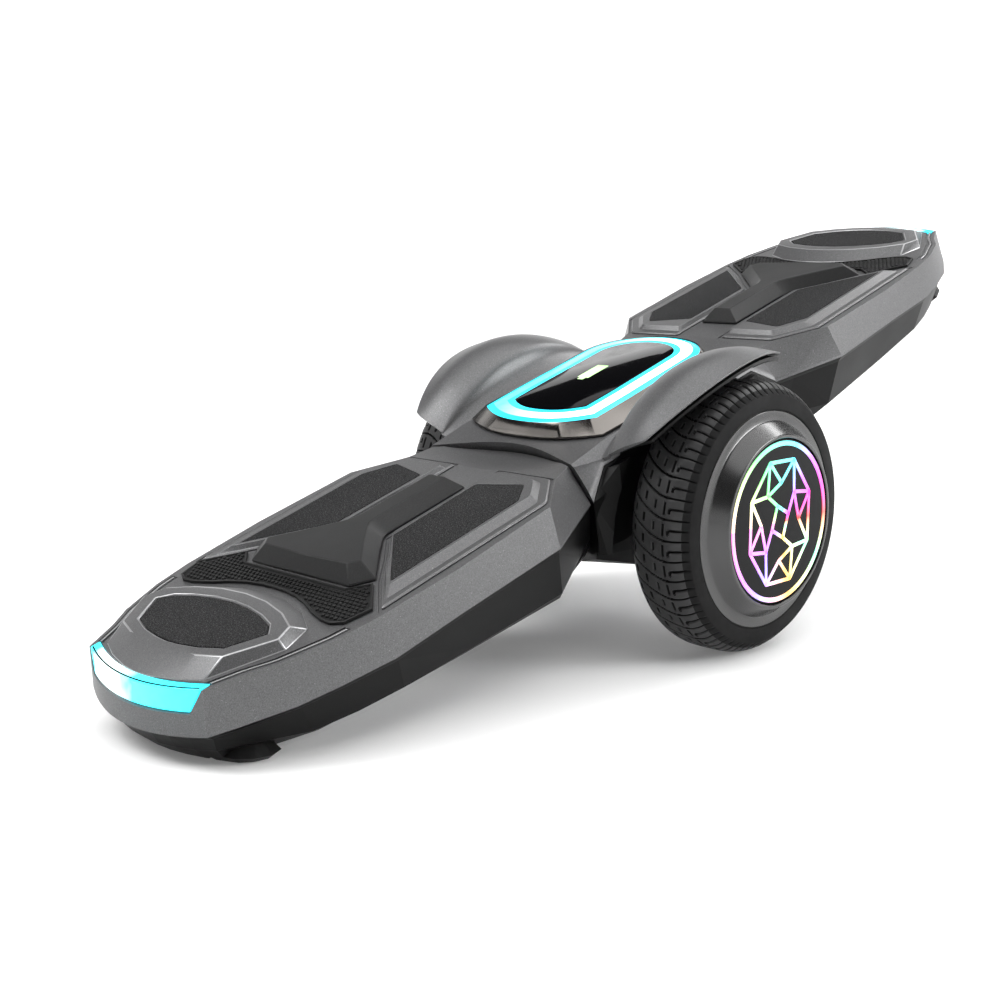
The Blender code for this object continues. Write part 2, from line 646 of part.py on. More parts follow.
def build_display(stance):
    lip = PLATE_TOP + 0.9 * MM
    foot = [(x * 0.985, y * 0.93) for x, y in BEZEL_LOW]
    rings = [level(foot, lip), level(BEZEL_LOW, lip + 1.4 * MM), level(grow_half(RING_OUT, 1.4), 83.2 * MM)]
    bezel = add("display_bezel", loft(rings), CHROME, stance)
    well = loft([level(grow_half(RING_OUT, 0.3), 79 * MM), level(grow_half(RING_OUT, 0.3), 95 * MM)])
    cut(bezel, add("bezel_well_cutter", well, None, stance, cutter=True))
    pit = loft([level(grow_half(RING_IN, -4), 76.5 * MM), level(grow_half(RING_IN, -4), 95 * MM)])
    cut(bezel, add("bezel_pit_cutter", pit, None, stance, cutter=True))

    low = 79 * MM + GAP
    rings = [level(RING_OUT, low), level(RING_OUT, 83 * MM), level(grow_half(RING_OUT, -2), 84.2 * MM)]
    ring = add("display_light_ring", loft(rings), CYAN, stance)
    hole = loft([level(RING_IN, 60 * MM), level(RING_IN, 95 * MM)])
    cut(ring, add("ring_hole_cutter", hole, None, stance, cutter=True))
    glass = grow_half(RING_IN, -0.5)
    add("display_glass", loft([level(glass, low), level(glass, 84.6 * MM)]), GLASS, stance)
    board = grow_half(RING_IN, -6)
    add("display_board", loft([level(board, 76.5 * MM + GAP), level(board, 78.3 * MM)]), BOARD, stance)


def grow_half(half, by):
    """Offset a half outline whose ends lie on y = 0."""
    moved = []
    for index, (x, y) in enumerate(half):
        before = Vector(half[index - 1]) if index else Vector((half[1][0], -half[1][1]))
        last = index == len(half) - 1
        after = Vector((half[-2][0], -half[-2][1])) if last else Vector(half[index + 1])
        run = (after - before).normalized()
        outward = Vector((run.y, -run.x))
        moved.append((x + outward.x * by, 0.0 if y < 1e-9 else y + outward.y * by))
    return moved


# ---- wheels ------------------------------------------------------------------------------
TYRE_PROFILE = (
    (67.2, 119.6), (75.7, 119.8), (79.8, 116), (82.2, 110), (84, 101), (84, 88), (83, 83), (80, 79.5),
    (64, 79.5), (62.2, 81), (62.2, 115), (67.2, 117),
)
SHELL_PROFILE = ((55, 111), (61.8, 111), (61.8, 71), (58.4, 71), (58.4, 104), (15.4, 104), (15.4, 111))
CAP_PROFILE = (
    (52.6, 129.9), (54.6, 128.6), (59.5, 124.0), (66.6, 119.5), (66.6, 118.1), (61.4, 115.8), (61, 112),
    (20, 112), (20, 116.5), (51.6, 124.3), (51.6, 129.9),
)
LIGHT_PROFILE = ((0.0, 129.3), (50.4, 129.3), (51.2, 128.6), (51.2, 125.4), (49.0, 124.9), (0.0, 124.9))


def build_wheel(hand, hub, stance, side):
    def ring(name, profile, finish, parent=hub, steps=ROUND):
        return turned(f"{name}_{hand}", profile, finish, parent, steps, side=side)

    ring("tyre", TYRE_PROFILE, TYRE)
    ring("motor_shell", SHELL_PROFILE, ALLOY, steps=32)
    ring("magnet_ring", ((57.9, 100), (57.9, 80), (54, 80), (54, 100)), STEEL, steps=32)
    ring("outer_bearing", ((15.1, 110), (15.1, 104.5), (7.4, 104.5), (7.4, 110)), STEEL, steps=24)
    cover = ((57.9, 74.6), (57.9, 71.5), (12, 70.0), (12, 73))
    ring("motor_inner_cover", cover, ALLOY, steps=32)
    ring("hub_cap", CAP_PROFILE, HUB)
    disc(f"wheel_light_{hand}", LIGHT_PROFILE, CYAN, hub, side)
    stator = ((52.8, 100), (52.8, 80), (7.35, 80), (7.35, 100))
    ring("stator", stator, COPPER, parent=stance, steps=32)


def disc(name, profile, finish, parent, side):
    """Solid disc turned about Y, closed on the axis."""
    bm = revolved_x([(radius * MM, y * MM) for radius, y in profile])
    made = add(name, bm, finish, parent)
    made.rotation_euler = (0, 0, math.radians(90 * side))
    return made


# ---- underside controls --------------------------------------------------------------------
UNDERSIDE = -26 * MM
BUTTON_AT = (14 * MM, 22 * MM)
PORT_AT = (8 * MM, -22 * MM)


def build_controls(stance):
    housing = PARTS.objects["centre_lower_housing"]
    bx, by = BUTTON_AT
    px, py = PORT_AT
    holes = {"button_hole": (bx, by, 7.5), "port_hole": (px, py, 8.5)}
    for name, (x, y, radius) in holes.items():
        hole = rod(radius * MM, (x, y, UNDERSIDE - 0.01), (x, y, UNDERSIDE + 0.01), 24)
        cut(housing, add(f"{name}_cutter", hole, None, stance, cutter=True))
    pocket = box((-6, -37, -30), (23, -10, -24.4))
    cut(housing, add("cap_pocket_cutter", pocket, None, stance, cutter=True))

    press = empty("power_button_slide", stance, (bx, by, UNDERSIDE))
    add("power_button", rod(7 * MM, (0, 0, -0.6 * MM), (0, 0, 5.5 * MM), 24), RUBBER, press)

    port = rod(8.1 * MM, (px, py, UNDERSIDE + 2.4 * MM), (px, py, UNDERSIDE + 12 * MM), 24)
    socket = add("charge_port", port, BLACK, stance)
    bore = rod(5.5 * MM, (px, py, UNDERSIDE - 0.01), (px, py, UNDERSIDE + 9 * MM), 20)
    cut(socket, add("port_bore_cutter", bore, None, stance, cutter=True))
    hinge = empty("charge_cap_hinge", stance, (px, py - 13.2 * MM, UNDERSIDE))
    plate = box((-13, 1.6, -0.6), (13, 24, 1.2))
    cap = add("charge_port_cap", plate, RUBBER, hinge)
    plug = rod(5.0 * MM, (0, 13.2 * MM, 0), (0, 13.2 * MM, 4.6 * MM), 20)
    join(cap, add("cap_plug_cutter", plug, None, hinge, cutter=True))
    roll = rod(1.0 * MM, (-0.010, 0.7 * MM, 0.3 * MM), (0.010, 0.7 * MM, 0.3 * MM), 12)
    join(cap, add("cap_roll_cutter", roll, None, hinge, cutter=True))


def build_board():
    stance = empty("stance", None, (STANCE_X, 0, TYRE_R), (0, NOSE_DOWN, 0))
    build_centre(stance)
    build_display(stance)
    build_controls(stance)
    for side, turn in (("front", 0.0), ("rear", math.pi)):
        pivot = empty(f"{side}_deck_pivot", stance, (0, 0, ROLL_Z), (0, 0, turn))
        lower = build_deck(side, pivot)
        build_feet(side, pivot, lower)
        if side == "front":
            add("battery_pack", box((128, -44, 20), (252, 44, 46)), CELL, pivot, ROLL_Z)
        else:
            add("motor_driver_board", box((128, -40, 22), (230, 40, 24)), BOARD, pivot, ROLL_Z)
    for hand, side in (("left", 1), ("right", -1)):
        hub = empty(f"wheel_{hand}_hub", stance, (0, 0, 0))
        build_wheel(hand, hub, stance, side)


build_board()
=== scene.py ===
# %% [markdown]
# A self balancing hoverboard of the skate kind: two footboards in line, a lit centre body and
# two motor wheels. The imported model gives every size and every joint; this lesson dresses it.
# Each cell makes one family of pieces, says what it is on the real board, and prints a count.

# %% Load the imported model
import math
import json

import bmesh
import bpy
from mathutils import Matrix, Vector


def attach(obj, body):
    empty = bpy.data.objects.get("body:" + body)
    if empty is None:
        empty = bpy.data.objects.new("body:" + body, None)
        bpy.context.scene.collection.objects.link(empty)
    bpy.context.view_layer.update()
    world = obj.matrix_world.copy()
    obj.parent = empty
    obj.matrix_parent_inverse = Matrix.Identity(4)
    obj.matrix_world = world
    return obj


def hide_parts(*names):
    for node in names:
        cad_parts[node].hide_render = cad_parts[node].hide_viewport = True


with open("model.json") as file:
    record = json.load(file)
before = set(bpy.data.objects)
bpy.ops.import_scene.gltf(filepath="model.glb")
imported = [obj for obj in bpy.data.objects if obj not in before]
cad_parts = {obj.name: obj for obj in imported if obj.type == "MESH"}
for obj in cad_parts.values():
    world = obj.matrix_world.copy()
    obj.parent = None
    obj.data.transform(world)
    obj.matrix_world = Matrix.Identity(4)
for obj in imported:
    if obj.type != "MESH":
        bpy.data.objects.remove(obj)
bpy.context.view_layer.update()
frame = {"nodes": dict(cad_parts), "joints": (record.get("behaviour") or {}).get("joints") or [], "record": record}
MM = 0.001
print("nodes in the packed model:", len(frame["nodes"]))

# %% [markdown]
# The board stands nose down, so nothing on it is level. Working in its own level frame is much
# easier: X along the board, Y to the left wheel, Z up, with the axle at the origin. The joints
# in the record give both the axle and the tilt, so one matrix carries level work into place.

# %% Place of the level board
joints = {joint["name"]: joint for joint in frame["joints"]}
axle = Vector(joints["left_wheel_spin"]["pos_m"])
roll_axis = Vector(joints["front_deck_roll"]["axis"])
NOSE_DOWN = math.atan2(-roll_axis.z, roll_axis.x)
CENTRE = Matrix.Translation((axle.x, 0, axle.z))
BOARD = CENTRE @ Matrix.Rotation(NOSE_DOWN, 4, "Y")
roll_point = BOARD.inverted() @ Vector(joints["front_deck_roll"]["pos_m"])
ROLL_Z = roll_point.z / MM
TURNED = {"front": BOARD, "rear": BOARD @ Matrix.Rotation(math.pi, 4, "Z")}
WHEEL = {
    "left": CENTRE @ Matrix(((-1, 0, 0, 0), (0, 0, 1, 0), (0, 1, 0, 0), (0, 0, 0, 1))),
    "right": CENTRE @ Matrix(((1, 0, 0, 0), (0, 0, -1, 0), (0, 1, 0, 0), (0, 0, 0, 1))),
}
print("nose down by", round(math.degrees(NOSE_DOWN), 2), "degrees, roll axis", round(ROLL_Z, 1),
      "mm over the axle")

# %% [markdown]
# The camera comes before the pieces, so that each new piece can be looked at as it is made.
# A 50 mm lens a little above deck height looks along the board from in front of its left side.

# %% Camera
lens = bpy.data.cameras.new("board_camera")
lens.lens = 50
lens.sensor_width = 36
camera = bpy.data.objects.new("board_camera", lens)
bpy.context.scene.collection.objects.link(camera)
CAMERA_AT = Vector((axle.x + 0.6999, 0.5929, 0.2433))
looking = Vector((-0.6946, -0.6979, -0.1747)).normalized()
camera_up = Vector((-0.1232, -0.1238, 0.9846))
camera_right = looking.cross(camera_up).normalized()
turn = Matrix((camera_right, camera_right.cross(looking), -looking)).transposed().to_4x4()
camera.matrix_world = Matrix.Translation(CAMERA_AT) @ turn
bpy.context.scene.camera = camera
bpy.context.scene.view_settings.view_transform = "Standard"
print("camera", tuple(round(value, 3) for value in CAMERA_AT))

# %% [markdown]
# A studio packshot is mostly soft light: a pale floor that melts into the background, one wide
# lamp overhead and strip lamps that draw the long highlights along the edges. Glowing paper
# walls close the horizon on every side.

# %% Floor and light
world = bpy.data.worlds.new("studio")
bpy.context.scene.world = world
world.use_nodes = True
world.node_tree.nodes["Background"].inputs["Color"].default_value = (1, 1, 1, 1)
world.node_tree.nodes["Background"].inputs["Strength"].default_value = 0.04

sky = bpy.data.lights.new("overhead_dome", "SUN")
sky.energy = 2.65
sky.angle = math.radians(75)
dome = bpy.data.objects.new("overhead_dome", sky)
bpy.context.scene.collection.objects.link(dome)
dome.rotation_euler = (Vector((0, 0, 0)) - Vector((-0.12, 0.1, 1))).to_track_quat("-Z", "Y").to_euler()


def soft_lamp(name, place, aim, size, power, shape_y=None):
    lamp = bpy.data.lights.new(name, "AREA")
    lamp.shape = "RECTANGLE"
    lamp.size = size
    lamp.size_y = shape_y or size
    lamp.energy = power
    made = bpy.data.objects.new(name, lamp)
    bpy.context.scene.collection.objects.link(made)
    made.location = place
    made.rotation_euler = (Vector(aim) - Vector(place)).to_track_quat("-Z", "Y").to_euler()
    return made


soft_lamp("side_box", (-1.3, 1.8, 0.9), (-0.2, 0, 0.15), 1.0, 34, 0.8)
soft_lamp("nose_box", (1.35, -1.05, 1.9), (0.1, -0.1, 0.12), 1.2, 40)
soft_lamp("back_strip", (-1.7, 0.2, 1.6), (-0.1, 0, 0.15), 1.6, 16, 0.35)


def stage_sheet(name, corners, albedo, glow):
    """One flat sheet of studio paper."""
    mesh = bpy.data.meshes.new(name)
    mesh.from_pydata(corners, [], [(0, 1, 2, 3)])
    sheet = bpy.data.objects.new(name, mesh)
    bpy.context.scene.collection.objects.link(sheet)
    paper = bpy.data.materials.new(name)
    paper.use_nodes = True
    shader = paper.node_tree.nodes["Principled BSDF"]
    shader.inputs["Base Color"].default_value = (albedo, albedo, albedo, 1)
    shader.inputs["Roughness"].default_value = 0.9
    shader.inputs["Specular IOR Level"].default_value = 0.1
    shader.inputs["Emission Color"].default_value = (1, 1, 1, 1)
    shader.inputs["Emission Strength"].default_value = glow
    mesh.materials.append(paper)
    return sheet


stage_sheet("studio_floor", [(-14, -14, 0), (14, -14, 0), (14, 14, 0), (-14, 14, 0)], 0.86, 0.12)
stage_sheet("studio_wall", [(-14, 6, 0), (6, -14, 0), (6, -14, 3.2), (-14, 6, 3.2)], 0.5, 1.05)
far_corners = [(-14, 6), (-14, 14), (14, 14), (14, -14), (6, -14)]
for number, ((x0, y0), (x1, y1)) in enumerate(zip(far_corners, far_corners[1:])):
    stage_sheet(f"studio_far_wall_{number}", [(x0, y0, 0), (x1, y1, 0), (x1, y1, 4), (x0, y0, 4)], 0.5, 0.9)

# %% [markdown]
# A finish is a shader plus the small unevenness that stops it from looking like paint in a
# computer. All textures read the object's own coordinates in metres, so a noise of scale 2000
# has grains of half a millimetre, and both decks carry exactly the same plastic.

# %% Helpers for finishes
def new_finish(name, colour, roughness, metallic=0.0):
    made = bpy.data.materials.new(name)
    made.use_nodes = True
    shader = made.node_tree.nodes["Principled BSDF"]
    shader.inputs["Base Color"].default_value = (*colour, 1)
    shader.inputs["Roughness"].default_value = roughness
    shader.inputs["Metallic"].default_value = metallic
    return made, made.node_tree, shader


def own_place(tree):
    return tree.nodes.new("ShaderNodeTexCoord").outputs["Object"]


def grain(tree, scale, detail=2.0):
    texture = tree.nodes.new("ShaderNodeTexNoise")
    texture.inputs["Scale"].default_value = scale
    texture.inputs["Detail"].default_value = detail
    tree.links.new(own_place(tree), texture.inputs["Vector"])
    return texture.outputs["Fac"]


def flakes(tree, scale):
    texture = tree.nodes.new("ShaderNodeTexVoronoi")
    texture.inputs["Scale"].default_value = scale
    tree.links.new(own_place(tree), texture.inputs["Vector"])
    return texture.outputs["Color"]


def shades(tree, source, stops):
    """Colour ramp: stops are (position, (r, g, b))."""
    ramp = tree.nodes.new("ShaderNodeValToRGB")
    tree.links.new(source, ramp.inputs["Fac"])
    elements = ramp.color_ramp.elements
    while len(elements) < len(stops):
        elements.new(0.5)
    for element, (position, colour) in zip(elements, stops):
        element.position = position
        element.color = (*colour, 1)
    return ramp.outputs["Color"]


def between(tree, source, low, high, start=0.3, end=0.7):
    """Spread a 0..1 texture over a range of values."""
    spread = tree.nodes.new("ShaderNodeMapRange")
    spread.inputs["From Min"].default_value = start
    spread.inputs["From Max"].default_value = end
    spread.inputs["To Min"].default_value = low
    spread.inputs["To Max"].default_value = high
    tree.links.new(source, spread.inputs["Value"])
    return spread.outputs["Result"]


def bumps(tree, shader, source, strength, height):
    node = tree.nodes.new("ShaderNodeBump")
    node.inputs["Strength"].default_value = strength
    node.inputs["Distance"].default_value = height
    tree.links.new(source, node.inputs["Height"])
    tree.links.new(node.outputs["Normal"], shader.inputs["Normal"])


def paint(tree, shader, source, stops):
    """Base colour from a texture."""
    tree.links.new(shades(tree, source, stops), shader.inputs["Base Color"])


def gloss(tree, shader, source, low, high):
    """Roughness from a texture."""
    tree.links.new(between(tree, source, low, high), shader.inputs["Roughness"])


def light_up(tree, shader, source, stops, strength):
    """Emission from a texture; the unlit plastic has the same colour."""
    glow = shades(tree, source, stops)
    tree.links.new(glow, shader.inputs["Emission Color"])
    tree.links.new(glow, shader.inputs["Base Color"])
    shader.inputs["Emission Strength"].default_value = strength


def grey(value):
    return (value, value, value * 1.02)


# %% [markdown]
# The big covers are satin plastic with a metal flake in it. The flake is a cell texture of
# about a third of a millimetre whose cells differ a little in brightness; a slow noise
# shifts the gloss, as handling does. Bevels get a lighter twin: a painted edge highlight.

# %% Satin grey with flake
satin, tree, shader = new_finish("satin_flake", grey(0.14), 0.38, 0.5)
paint(tree, shader, flakes(tree, 2600), [(0.0, grey(0.075)), (0.55, grey(0.112)), (0.9, grey(0.138)),
                                         (1.0, grey(0.28))])
gloss(tree, shader, grain(tree, 9, 3), 0.36, 0.46)
bumps(tree, shader, grain(tree, 2400, 1), 0.25, 0.00006)

# Painted highlight: a lighter satin for the bevels, standing in for light caught along the edges.
painted_highlight_edge, tree, shader = new_finish("satin_painted_highlight", grey(0.3), 0.34, 0.6)
paint(tree, shader, flakes(tree, 2600), [(0.0, grey(0.25)), (0.8, grey(0.36))])
gloss(tree, shader, grain(tree, 9, 3), 0.26, 0.36)
print("made", satin.name, painted_highlight_edge.name)

# %% [markdown]
# Moulded black parts have a fine spark-eroded grain: dark, even, and rough enough to kill
# reflections. The same recipe with a lighter base makes the dark spine on each deck. The hub
# caps are smoother and glossier, so they get a finish of their own without the grain.

# %% Grained plastics
def grained_plastic(name, value, roughness, scale=1500, height=0.00008, shine=0.3):
    made, tree, shader = new_finish(name, grey(value), roughness)
    shader.inputs["Specular IOR Level"].default_value = shine
    paint(tree, shader, grain(tree, scale, 2), [(0.3, grey(value * 0.75)), (0.7, grey(value * 1.3))])
    gloss(tree, shader, grain(tree, 14, 3), roughness - 0.06, roughness + 0.06)
    bumps(tree, shader, grain(tree, scale, 2), 0.3, height)
    return made


black_grain = grained_plastic("black_grain", 0.003, 0.45, shine=0.14)
spine_grain = grained_plastic("spine_grain", 0.013, 0.45, shine=0.2)
hub_satin, tree, shader = new_finish("hub_satin", grey(0.012), 0.24)
shader.inputs["Specular IOR Level"].default_value = 0.8
gloss(tree, shader, grain(tree, 2200, 2), 0.22, 0.27)
paint(tree, shader, grain(tree, 900, 2), [(0.3, grey(0.009)), (0.7, grey(0.014))])
print("made", black_grain.name, spine_grain.name, hub_satin.name)

# %% [markdown]
# Grip sheet is grit under a thin coat. Seen close it is a salt-and-pepper of dark and light
# grains, so two noises of different size are mixed by the ramp, and the bump is strong.

# %% Grip sheet and rubbers
grit, tree, shader = new_finish("grit_sheet", grey(0.04), 0.92)
shader.inputs["Specular IOR Level"].default_value = 0.08
paint(tree, shader, grain(tree, 1500, 3), [(0.36, grey(0.008)), (0.5, grey(0.022)), (0.6, grey(0.04)),
                                           (0.72, grey(0.1))])
bumps(tree, shader, grain(tree, 1300, 3), 0.9, 0.0004)


def rubber_like(name, value, roughness, scale, shine=0.25):
    made, tree, shader = new_finish(name, grey(value), roughness)
    shader.inputs["Specular IOR Level"].default_value = shine
    paint(tree, shader, grain(tree, scale, 4), [(0.3, grey(value * 0.85)), (0.75, grey(value * 1.2))])
    gloss(tree, shader, grain(tree, 40, 3), roughness - 0.07, roughness + 0.07)
    bumps(tree, shader, grain(tree, 900, 3), 0.25, 0.0001)
    return made


mat_rubber = rubber_like("mat_rubber", 0.006, 0.5, 300)
tyre_tread = rubber_like("tyre_tread", 0.028, 0.45, 120)
tyre_side = rubber_like("tyre_side", 0.009, 0.6, 200, 0.08)
# Painted shade: near-black rubber for the faces deep in the tread grooves.
tyre_groove_painted_shade = rubber_like("tyre_groove_painted_shade", 0.002, 0.8, 200)
print("made", grit.name, mat_rubber.name, tyre_tread.name, tyre_side.name)

# %% [markdown]
# The display sits in a smoked-chrome body. Real plating is never perfectly clean: a stretched
# noise varies the roughness a little, which breaks up long reflections.

# %% Smoked chrome, glass, metals
smoked, tree, shader = new_finish("smoked_chrome", (0.16, 0.15, 0.14), 0.16, 1.0)
gloss(tree, shader, grain(tree, 60, 4), 0.12, 0.24)
paint(tree, shader, grain(tree, 18, 2), [(0.3, (0.12, 0.112, 0.105)), (0.7, (0.2, 0.187, 0.175))])

black_gloss, tree, shader = new_finish("black_gloss", (0.002, 0.002, 0.0025), 0.06)
shader.inputs["Specular IOR Level"].default_value = 0.1
gloss(tree, shader, grain(tree, 80, 3), 0.04, 0.09)


def metal(name, colour, roughness, scale):
    made, tree, shader = new_finish(name, colour, roughness, 1.0)
    gloss(tree, shader, grain(tree, scale, 4), roughness - 0.1, roughness + 0.12)
    dark = tuple(part * 0.8 for part in colour)
    paint(tree, shader, grain(tree, scale, 4), [(0.3, dark), (0.7, colour)])
    bumps(tree, shader, grain(tree, scale * 6, 2), 0.2, 0.00005)
    return made


steel = metal("turned_steel", (0.5, 0.5, 0.52), 0.32, 260)
cast = metal("cast_alloy", (0.55, 0.55, 0.57), 0.45, 420)
copper = metal("wound_copper", (0.72, 0.35, 0.2), 0.38, 900)
solder_mask, tree, shader = new_finish("solder_mask", (0.01, 0.09, 0.035), 0.35)
paint(tree, shader, grain(tree, 600, 2), [(0.3, (0.006, 0.06, 0.024)), (0.7, (0.014, 0.12, 0.05))])
shrink_wrap, tree, shader = new_finish("shrink_wrap", (0.02, 0.06, 0.3), 0.3)
paint(tree, shader, grain(tree, 300, 2), [(0.3, (0.015, 0.045, 0.24)), (0.7, (0.025, 0.075, 0.36))])
print("made", smoked.name, black_gloss.name, steel.name, cast.name, copper.name)

# %% [markdown]
# Three things on the board glow: the ring round the display, the bars in the noses and the
# discs on the wheels. A glowing plastic isn't one flat colour: it is white where a lamp sits
# behind it and saturated between lamps, so the emission colour comes from a texture too.

# %% Lit plastics
def lit(name, strength, scale, stops):
    made, tree, shader = new_finish(name, stops[0][1], 0.25)
    light_up(tree, shader, grain(tree, scale, 1), stops, strength)
    return made


CYAN = (0.015, 0.62, 0.78)
ring_glow = lit("ring_glow", 1.3, 26, [(0.3, CYAN), (0.7, (0.03, 0.72, 0.86))])


def lit_across(name, strength, y_from, y_to, stops):
    """Lit plastic whose colour also depends on where it is across the board."""
    made, tree, shader = new_finish(name, stops[-1][1], 0.25)
    split = tree.nodes.new("ShaderNodeSeparateXYZ")
    tree.links.new(own_place(tree), split.inputs["Vector"])
    mixed = tree.nodes.new("ShaderNodeMath")
    tree.links.new(between(tree, split.outputs["Y"], 0.0, 1.0, y_from, y_to), mixed.inputs[0])
    tree.links.new(between(tree, grain(tree, 140, 1), -0.03, 0.03), mixed.inputs[1])
    light_up(tree, shader, mixed.outputs["Value"], stops, strength)
    return made


LIT_STOPS = [(0.0, (0.1, 0.78, 0.9)), (0.4, (0.4, 0.95, 1.0)), (0.75, (0.85, 1.0, 1.0))]
ring_core = lit_across("ring_core", 1.25, -0.035, 0.03, LIT_STOPS)
NOSE_STOPS = [(0.0, (0.03, 0.7, 0.85)), (0.45, (0.06, 0.8, 0.92)), (0.66, (0.8, 1.0, 1.0)),
              (0.84, (0.8, 1.0, 1.0)),
              (0.95, (0.04, 0.72, 0.86))]
nose_glow = lit_across("nose_glow", 1.25, 0.05, -0.05, NOSE_STOPS)
icon_glow = lit("icon_glow", 1.0, 60, [(0.3, (0.42, 0.86, 0.3)), (0.7, (0.62, 1.0, 0.45))])
print("made", ring_glow.name, ring_core.name, nose_glow.name, icon_glow.name)

# %% [markdown]
# The lines on the wheel discs run through the rainbow round the hub. A radial gradient read in
# the wheel's own frame gives the angle, and a ramp turns the angle into a colour.

# %% Rainbow light
RAINBOW = [
    (0, (1.0, 0.12, 0.1)), (22, (1.0, 0.1, 0.62)), (50, (0.62, 0.2, 1.0)), (72, (0.15, 0.75, 1.0)),
    (95, (0.2, 0.95, 0.75)),
    (125, (0.25, 1.0, 0.3)), (150, (0.8, 1.0, 0.45)), (172, (1.0, 0.75, 0.6)), (195, (1.0, 0.3, 0.75)),
    (222, (0.72, 0.22, 1.0)), (243, (0.35, 0.3, 1.0)), (262, (1.0, 0.6, 0.8)), (283, (1.0, 0.55, 0.12)),
    (305, (0.95, 1.0, 0.5)), (328, (0.35, 1.0, 0.75)), (345, (1.0, 0.9, 0.5)),
]
rainbow, tree, shader = new_finish("rainbow_light", (0.5, 0.5, 0.5), 0.3)
angle = tree.nodes.new("ShaderNodeTexGradient")
angle.gradient_type = "RADIAL"
tree.links.new(own_place(tree), angle.inputs["Vector"])
stops = sorted((((degrees / 360 + 0.5) % 1), colour) for degrees, colour in RAINBOW)
light_up(tree, shader, angle.outputs["Fac"], stops, 1.0)
print("rainbow stops:", len(stops))

# %% [markdown]
# Most pieces are lofts: closed outlines of the same number of points, skinned one to the next.
# Outlines are plain lists of corners in millimetres, read off the board's plan.

# %% Helpers for shapes
def place_piece(name, bm, finish, body, matrix, stands_for=(), sharp=30, bevel=0.0):
    bmesh.ops.recalc_face_normals(bm, faces=bm.faces)
    mesh = bpy.data.meshes.new(name)
    bm.to_mesh(mesh)
    bm.free()
    made = bpy.data.objects.new(name, mesh)
    bpy.context.scene.collection.objects.link(made)
    made.matrix_world = matrix
    mesh.materials.append(finish)
    mesh.shade_smooth()
    mesh.set_sharp_from_angle(angle=math.radians(sharp))
    if bevel:
        soften = made.modifiers.new("soft_edges", "BEVEL")
        soften.width = bevel * MM
        soften.segments = 2
        soften.limit_method = "ANGLE"
        soften.angle_limit = math.radians(24)
        # Satin bevels take the lighter twin, a painted highlight along the edges.
        if finish == satin:
            mesh.materials.append(painted_highlight_edge)
            soften.material = 1
    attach(made, body)
    if stands_for:
        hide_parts(*stands_for)
    return made


def skin(bm, low, high):
    """Faces between two rings of points; either ring may be a single point."""
    count = max(len(low), len(high))
    for i in range(count):
        j = (i + 1) % count
        corners = (low[i % len(low)], low[j % len(low)], high[j % len(high)], high[i % len(high)])
        bm.faces.new(list(dict.fromkeys(corners)))


def loft(sections):
    bm = bmesh.new()
    rings = [[bm.verts.new(Vector(point) * MM) for point in section] for section in sections]
    for low, high in zip(rings, rings[1:]):
        skin(bm, low, high)
    for ring in (rings[0], rings[-1]):
        bm.faces.new(ring)
    return bm


def at(outline, z):
    return [(x, y, z) for x, y in outline]


def whole(half):
    """Add the mirror image of a half outline whose ends lie on y = 0."""
    return list(half) + [(x, -y) for x, y in reversed(half) if y > 1e-9]


def flipped(outline, sign):
    return [(x, y * sign) for x, y in outline]


def inset(outline, amount):
    """Move the sides of an outline inwards (mm): one amount, or one for each side."""
    count = len(outline)
    points = [Vector(point) for point in outline]
    area = sum(points[i].cross(points[(i + 1) % count]) for i in range(count))
    amounts = amount if isinstance(amount, (list, tuple)) else [amount] * count
    sides = []
    for i in range(count):
        along = (points[(i + 1) % count] - points[i]).normalized()
        inward = Vector((-along.y, along.x)) * (1 if area > 0 else -1)
        sides.append((points[i] + inward * amounts[i], along))
    moved = []
    for i in range(count):
        (p, d), (q, e) = sides[i - 1], sides[i]
        turn = d.cross(e)
        if abs(turn) < 1e-4:
            moved.append(tuple(q))
        else:
            moved.append(tuple(p + d * ((q - p).cross(e) / turn)))
    return moved


def rounded(outline, radius, steps=3):
    """Replace each corner of an outline with a short curve."""
    count = len(outline)
    points = []
    for i in range(count):
        corner = Vector(outline[i])
        before = Vector(outline[i - 1])
        after = Vector(outline[(i + 1) % count])
        reach = min(radius, (before - corner).length * 0.45, (after - corner).length * 0.45)
        start = corner + (before - corner).normalized() * reach
        end = corner + (after - corner).normalized() * reach
        for k in range(steps + 1):
            t = k / steps
            points.append(tuple(start * (1 - t) ** 2 + corner * 2 * t * (1 - t) + end * t**2))
    return points


def turned(profile, steps=128):
    """Closed (radius, height) profile in mm, turned about Z."""
    bm = bmesh.new()
    rings = []
    for radius, height in profile:
        if radius < 1e-6:
            rings.append([bm.verts.new((0, 0, height * MM))])
        else:
            spin = [2 * math.pi * k / steps for k in range(steps)]
            ring = [(radius * MM * math.cos(a), radius * MM * math.sin(a), height * MM) for a in spin]
            rings.append([bm.verts.new(point) for point in ring])
    closed = profile[0][0] > 1e-6 and profile[-1][0] > 1e-6
    pairs = list(zip(rings, rings[1:])) + ([(rings[-1], rings[0])] if closed else [])
    for low, high in pairs:
        skin(bm, low, high)
    return bm


